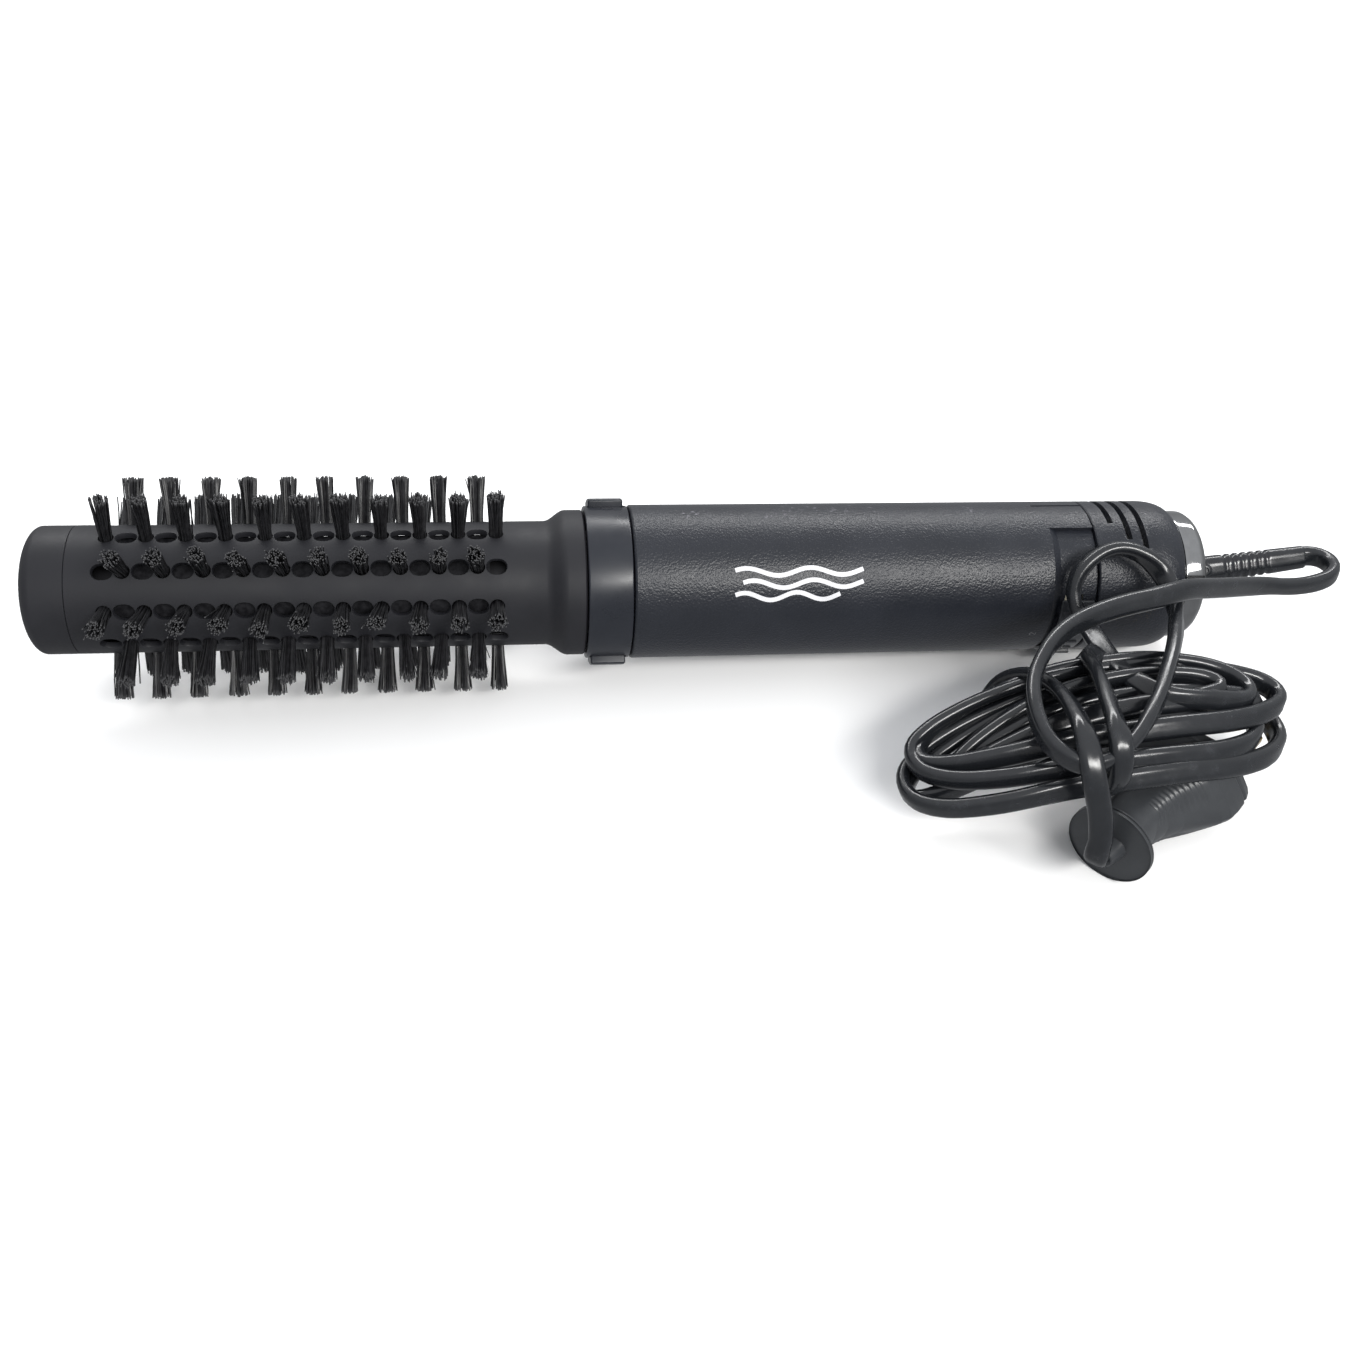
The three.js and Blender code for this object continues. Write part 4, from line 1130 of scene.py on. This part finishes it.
# Out of the bundle's back, over its top and down its front, and under it to the left.
WRAP_ROUTE = [
    (93.0, -40.5, 28.5), (87.6, -48.0, 32.5), (85.6, -58.5, 36.5), (83.5, -70.9, 38.5), (82.0, -81.8, 38.5),
    (82.5, -84.7, 31.0), (82.0, -81.0, 22.0), (79.0, -72.0, 19.0), (73.0, -60.0, 15.0), (67.5, -50.0, 13.0),
]
# Up behind the bundle's left half, over its top and down into the plug.
TAIL_ROUTE = [
    (65.4, -44.3, 16.5), (68.8, -43.0, 22.5), (73.3, -49.1, 30.0), (75.2, -58.7, 34.5), (75.2, -71.3, 38.0),
    (74.4, -81.5, 38.6), (75.1, -87.8, 33.0), (77.6, -89.9, 24.5), (78.6, -91.9, 17.5), (78.2, -92.7, 12.8),
    (78.6, -92.1, 10.8), (80.6, -90.3, 10.4),
]
# Each turn of the bundle: its left end and right end (along, across, up), its height in the
# middle, and how far its front and back strands lie from the line between the ends.
HANK_TURNS = (
    ((47.0, -63.0, 12.5), (126.0, -56.0, 26.5), 29.5, 12.0, 13.5),
    ((40.5, -60.0, 21.5), (136.5, -52.5, 22.5), 30.0, 13.5, 10.0),
    ((43.0, -64.0, 14.0), (128.0, -58.5, 20.5), 26.0, 17.0, 11.0),
    ((37.5, -66.0, 9.5), (137.0, -55.5, 13.5), 24.5, 19.5, 15.0),
    ((44.0, -66.0, 8.0), (131.0, -56.0, 23.5), 29.0, 0.5, 2.5),
    ((52.0, -66.0, 16.0), (119.0, -57.0, 29.0), 31.0, 3.0, 7.5),
)
POINTS_PER_TURN = 16
FIRST_TURN_ANGLE = 350
LAST_TURN_CUT = 6


def hank_point(turn, angle):
    """A point of one long turn. Its angle runs from 0 at the right end over 90 at the back."""
    left, right, middle_height, front, back = turn
    c, s = math.cos(math.radians(angle)), math.sin(math.radians(angle))
    share = math.copysign(abs(c) ** 0.8, c)
    centre = Vector(left).lerp(Vector(right), (share + 1) / 2)
    across = (back if s > 0 else front) * math.copysign(abs(s) ** 0.9, s)
    end_height = right[2] if share > 0 else left[2]
    height = middle_height + (end_height - middle_height) * abs(share) ** 1.6
    return Vector((centre.x, centre.y + across, height))


def hank_route():
    """All turns as one spiral. Each turn passes smoothly into the next one's size."""
    route = []
    count = len(HANK_TURNS)
    for i in range(POINTS_PER_TURN * count - LAST_TURN_CUT):
        position = i / POINTS_PER_TURN
        k = int(position)
        angle = FIRST_TURN_ANGLE + 360 * position
        here = hank_point(HANK_TURNS[k], angle)
        following = hank_point(HANK_TURNS[min(k + 1, count - 1)], angle)
        route.append(tuple(here.lerp(following, position - k)))
    return route


def cord_points():
    route = LEAD_ROUTE + LOOP_ROUTE + hank_route() + WRAP_ROUTE + TAIL_ROUTE
    line = catmull([Vector(p) * MM for p in route], 0.001)
    return even(relaxed(line, 6), CORD_STEP)


def make_cord():
    points = cord_points()
    _, _, wide = relief_frame()
    widths = lying_flat(points, wide)
    section = flat_section(CORD_WIDTH, CORD_THICKNESS)
    coordinates, faces = sweep(points, widths, [section] * len(points))
    cord = new_object("mains_cord", outward(mesh_from(coordinates, faces)))
    cord.data.materials.append(MATERIALS["cord_pvc"])
    cord.data.shade_smooth()
    cord.data.set_sharp_from_angle(angle=math.radians(60))
    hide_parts("cord_lead", "cord_hank", "cord_loop", "cord_tail")
    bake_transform(cord)
    return cord, points


def plug_frame():
    """The plug's middle line: the flange's centre and its direction, from the two pins' boxes."""
    low_a, high_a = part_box("plug_pin_left")
    low_b, high_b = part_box("plug_pin_right")
    between = ((low_a + high_a) + (low_b + high_b)) / 4
    left = (low_a + high_a) / 2
    across = (left - between).normalized()
    along = across.cross(Vector((0, 0, 1))).normalized()
    start = between - along * PIN_MIDDLE * MM
    columns = Matrix((along, across, Vector((0, 0, 1)))).transposed().to_4x4()
    return Matrix.Translation(start) @ columns @ Matrix.Scale(MM, 4)


def plug_section(half_width, half_height, waist, count=48, sharp=14):
    """A six-sided outline with rounded corners. waist is the flat top's share of the width."""
    lean = math.atan2(half_width * (1 - waist), half_height)
    slant = half_width * math.cos(lean)
    walls = [(0.0, 1.0, half_height)]
    walls += [(math.cos(lean), side * math.sin(lean), slant) for side in (1, -1)]
    points = []
    for i in range(count):
        angle = 2 * math.pi * i / count
        c, s = math.cos(angle), math.sin(angle)
        total = sum((abs(nx * c + ny * s) / reach) ** sharp for nx, ny, reach in walls)
        radius = total ** (-1 / sharp)
        points.append((radius * c, radius * s))
    return points


PLUG_STATIONS = (
    # distance, half width, half height, share of flat top, corner sharpness
    (1.5, 7.3, 6.6, 0.75, 5), (6, 7.4, 6.9, 0.72, 5), (10, 7.6, 7.4, 0.68, 6), (14, 8.7, 8.1, 0.63, 7),
    (18, 11.0, 9.0, 0.58, 9), (22, 14.2, 9.8, 0.56, 12), (25.5, 17.0, 10.2, 0.55, 16),
    (28, 18.1, 10.3, 0.55, 20),
    (31, 18.3, 10.3, 0.55, 22), (34.6, 18.2, 10.3, 0.55, 22), (35.1, 17.6, 9.9, 0.55, 22),
    (35.6, 17.6, 9.9, 0.55, 22), (36.1, 18.0, 10.2, 0.55, 22), (38.5, 17.4, 10.1, 0.55, 20),
    (39, 16.8, 9.6, 0.55, 16),
)


def plug_station(distance):
    for low, high in zip(PLUG_STATIONS, PLUG_STATIONS[1:]):
        if distance <= high[0]:
            share = (distance - low[0]) / (high[0] - low[0])
            return tuple(a + (b - a) * share for a, b in zip(low, high))
    return PLUG_STATIONS[-1]


def make_plug():
    place = plug_frame()
    coordinates = []
    count = 72
    first, step = PLUG_STATIONS[0][0], 0.25
    rings = 1 + round((PLUG_STATIONS[-1][0] - first) / step)
    distances = [first + step * i for i in range(rings)]
    for distance in distances:
        _, half_width, half_height, waist, sharp = plug_station(distance)
        section = plug_section(half_width, half_height, waist, count, sharp)
        for x, z in section:
            groove = 0.0
            slanted = abs(z) > 0.45 * half_height and abs(x) > 0.35 * half_width
            if GRIP_START < distance < GRIP_END and slanted:
                groove = GROOVE_DEPTH * (0.5 - 0.5 * math.cos(2 * math.pi * distance / GROOVE_PITCH))
            shrink = 1 - groove / math.hypot(x, z)
            coordinates.append(Vector((distance, x * shrink, z * shrink)))
    body = new_object("body", outward(mesh_from(coordinates, skin(rings, count))))
    rim = rounded([(0.0, FLANGE_RADIUS), (FLANGE_THICKNESS, FLANGE_RADIUS)], 0.9, 6)
    flange = turned("flange", [(0.0, 0.0), *rim, (FLANGE_THICKNESS, 0.0)], 96)
    boot_points = [Vector((d, 0, 0)) for d in (-4.4, -4.2, -3.6, -2, 0.4)]
    boot_sections = [flat_section(w, t) for w, t in
                     ((6.0, 3.9), (6.6, 4.5), (6.9, 4.8), (7.6, 5.4), (8.6, 6.2))]
    boot_widths = [Vector((0, 1, 0))] * 5
    boot = new_object("boot", outward(mesh_from(*sweep(boot_points, boot_widths, boot_sections))))
    piece = merged("plug_moulding", [body, flange, boot])
    piece.data.transform(place)
    return finish_piece(piece, "handle", "plug_pvc", ["plug_body"], 32, local=False)


# ---- Stage, light and camera ----
def make_stage():
    size = 6.0
    points = [Vector((x, y, 0)) for x, y in ((-size, -size), (size, -size), (size, size), (-size, size))]
    floor = new_object("studio_floor", mesh_from(points, [[0, 1, 2, 3]]))
    nodes = Nodes("studio_floor")
    shade = nodes.noise(nodes.object_place(), 3, 3)
    nodes.to("Base Color", nodes.colours(shade, (0.90, 0.90, 0.90), (0.93, 0.93, 0.93)))
    nodes.set(Roughness=0.85)
    floor.data.materials.append(nodes.material)
    floor.visible_glossy = False


def make_light(name, place, target, size, power, colour=(1, 1, 1)):
    data = bpy.data.lights.new(name, "AREA")
    data.shape = "RECTANGLE"
    data.size, data.size_y = size
    data.energy = power
    data.color = colour
    light = bpy.data.objects.new(name, data)
    light.location = place
    light.rotation_euler = (Vector(target) - Vector(place)).to_track_quat("-Z", "Y").to_euler()
    bpy.context.scene.collection.objects.link(light)


def make_lights():
    world = bpy.data.worlds.new("studio")
    world.use_nodes = True
    tree = world.node_tree
    background = tree.nodes["Background"]
    background.inputs["Color"].default_value = (0.95, 0.97, 1.0, 1)
    direction = tree.nodes.new("ShaderNodeTexCoord")
    split = tree.nodes.new("ShaderNodeSeparateXYZ")
    sky = tree.nodes.new("ShaderNodeMapRange")
    sky.inputs["From Min"].default_value = 0.0
    sky.inputs["From Max"].default_value = 0.9
    sky.inputs["To Min"].default_value = 0.45
    sky.inputs["To Max"].default_value = 1.08
    tree.links.new(direction.outputs["Generated"], split.inputs[0])
    tree.links.new(split.outputs["Z"], sky.inputs["Value"])
    tree.links.new(sky.outputs["Result"], background.inputs["Strength"])
    bpy.context.scene.world = world
    centre = (0.02, -0.02, 0.02)
    make_light("window", (0.4, -0.86, 0.83), (0.1, -0.02, 0.02), (0.9, 0.2), 15, (1.0, 0.99, 0.97))
    make_light("strip", (0.1, 0.65, 0.6), centre, (1.4, 0.09), 7.0)
    bpy.context.scene.view_settings.view_transform = "Standard"


def make_camera():
    data = bpy.data.cameras.new("camera")
    data.angle = math.radians(LENS_ANGLE)
    data.clip_start = 0.01
    camera = bpy.data.objects.new("camera", data)
    turn = Matrix.Rotation(math.radians(-CAMERA_TURN), 4, "Z")
    dip = Matrix.Rotation(math.radians(90 - CAMERA_DIP), 4, "X")
    roll = Matrix.Rotation(math.radians(CAMERA_ROLL), 4, "Z")
    camera.matrix_world = Matrix.Translation(CAMERA_PLACE) @ turn @ dip @ roll
    bpy.context.scene.collection.objects.link(camera)
    bpy.context.scene.camera = camera


# ---- Build ----
make_camera()
paint_cad_nodes()
cord, cord_line = make_cord()
plug = make_plug()
relief = make_strain_relief()

make_tip_cap()
make_barrel()
make_air_guide()
for row_number in range(ROW_COUNT):
    make_bristle_row(row_number)
make_collar()
make_button("upper", 90)
make_button("lower", -90)
make_handle_shell()
make_slider()
make_rear_housing()
make_chrome_ring()
make_swivel_socket()
make_swivel_drum()
make_nozzle()
make_screen()
make_air_mark()
make_position_marks()
make_stage()
make_lights()

print("cord length", round(length_of(cord_line), 3))
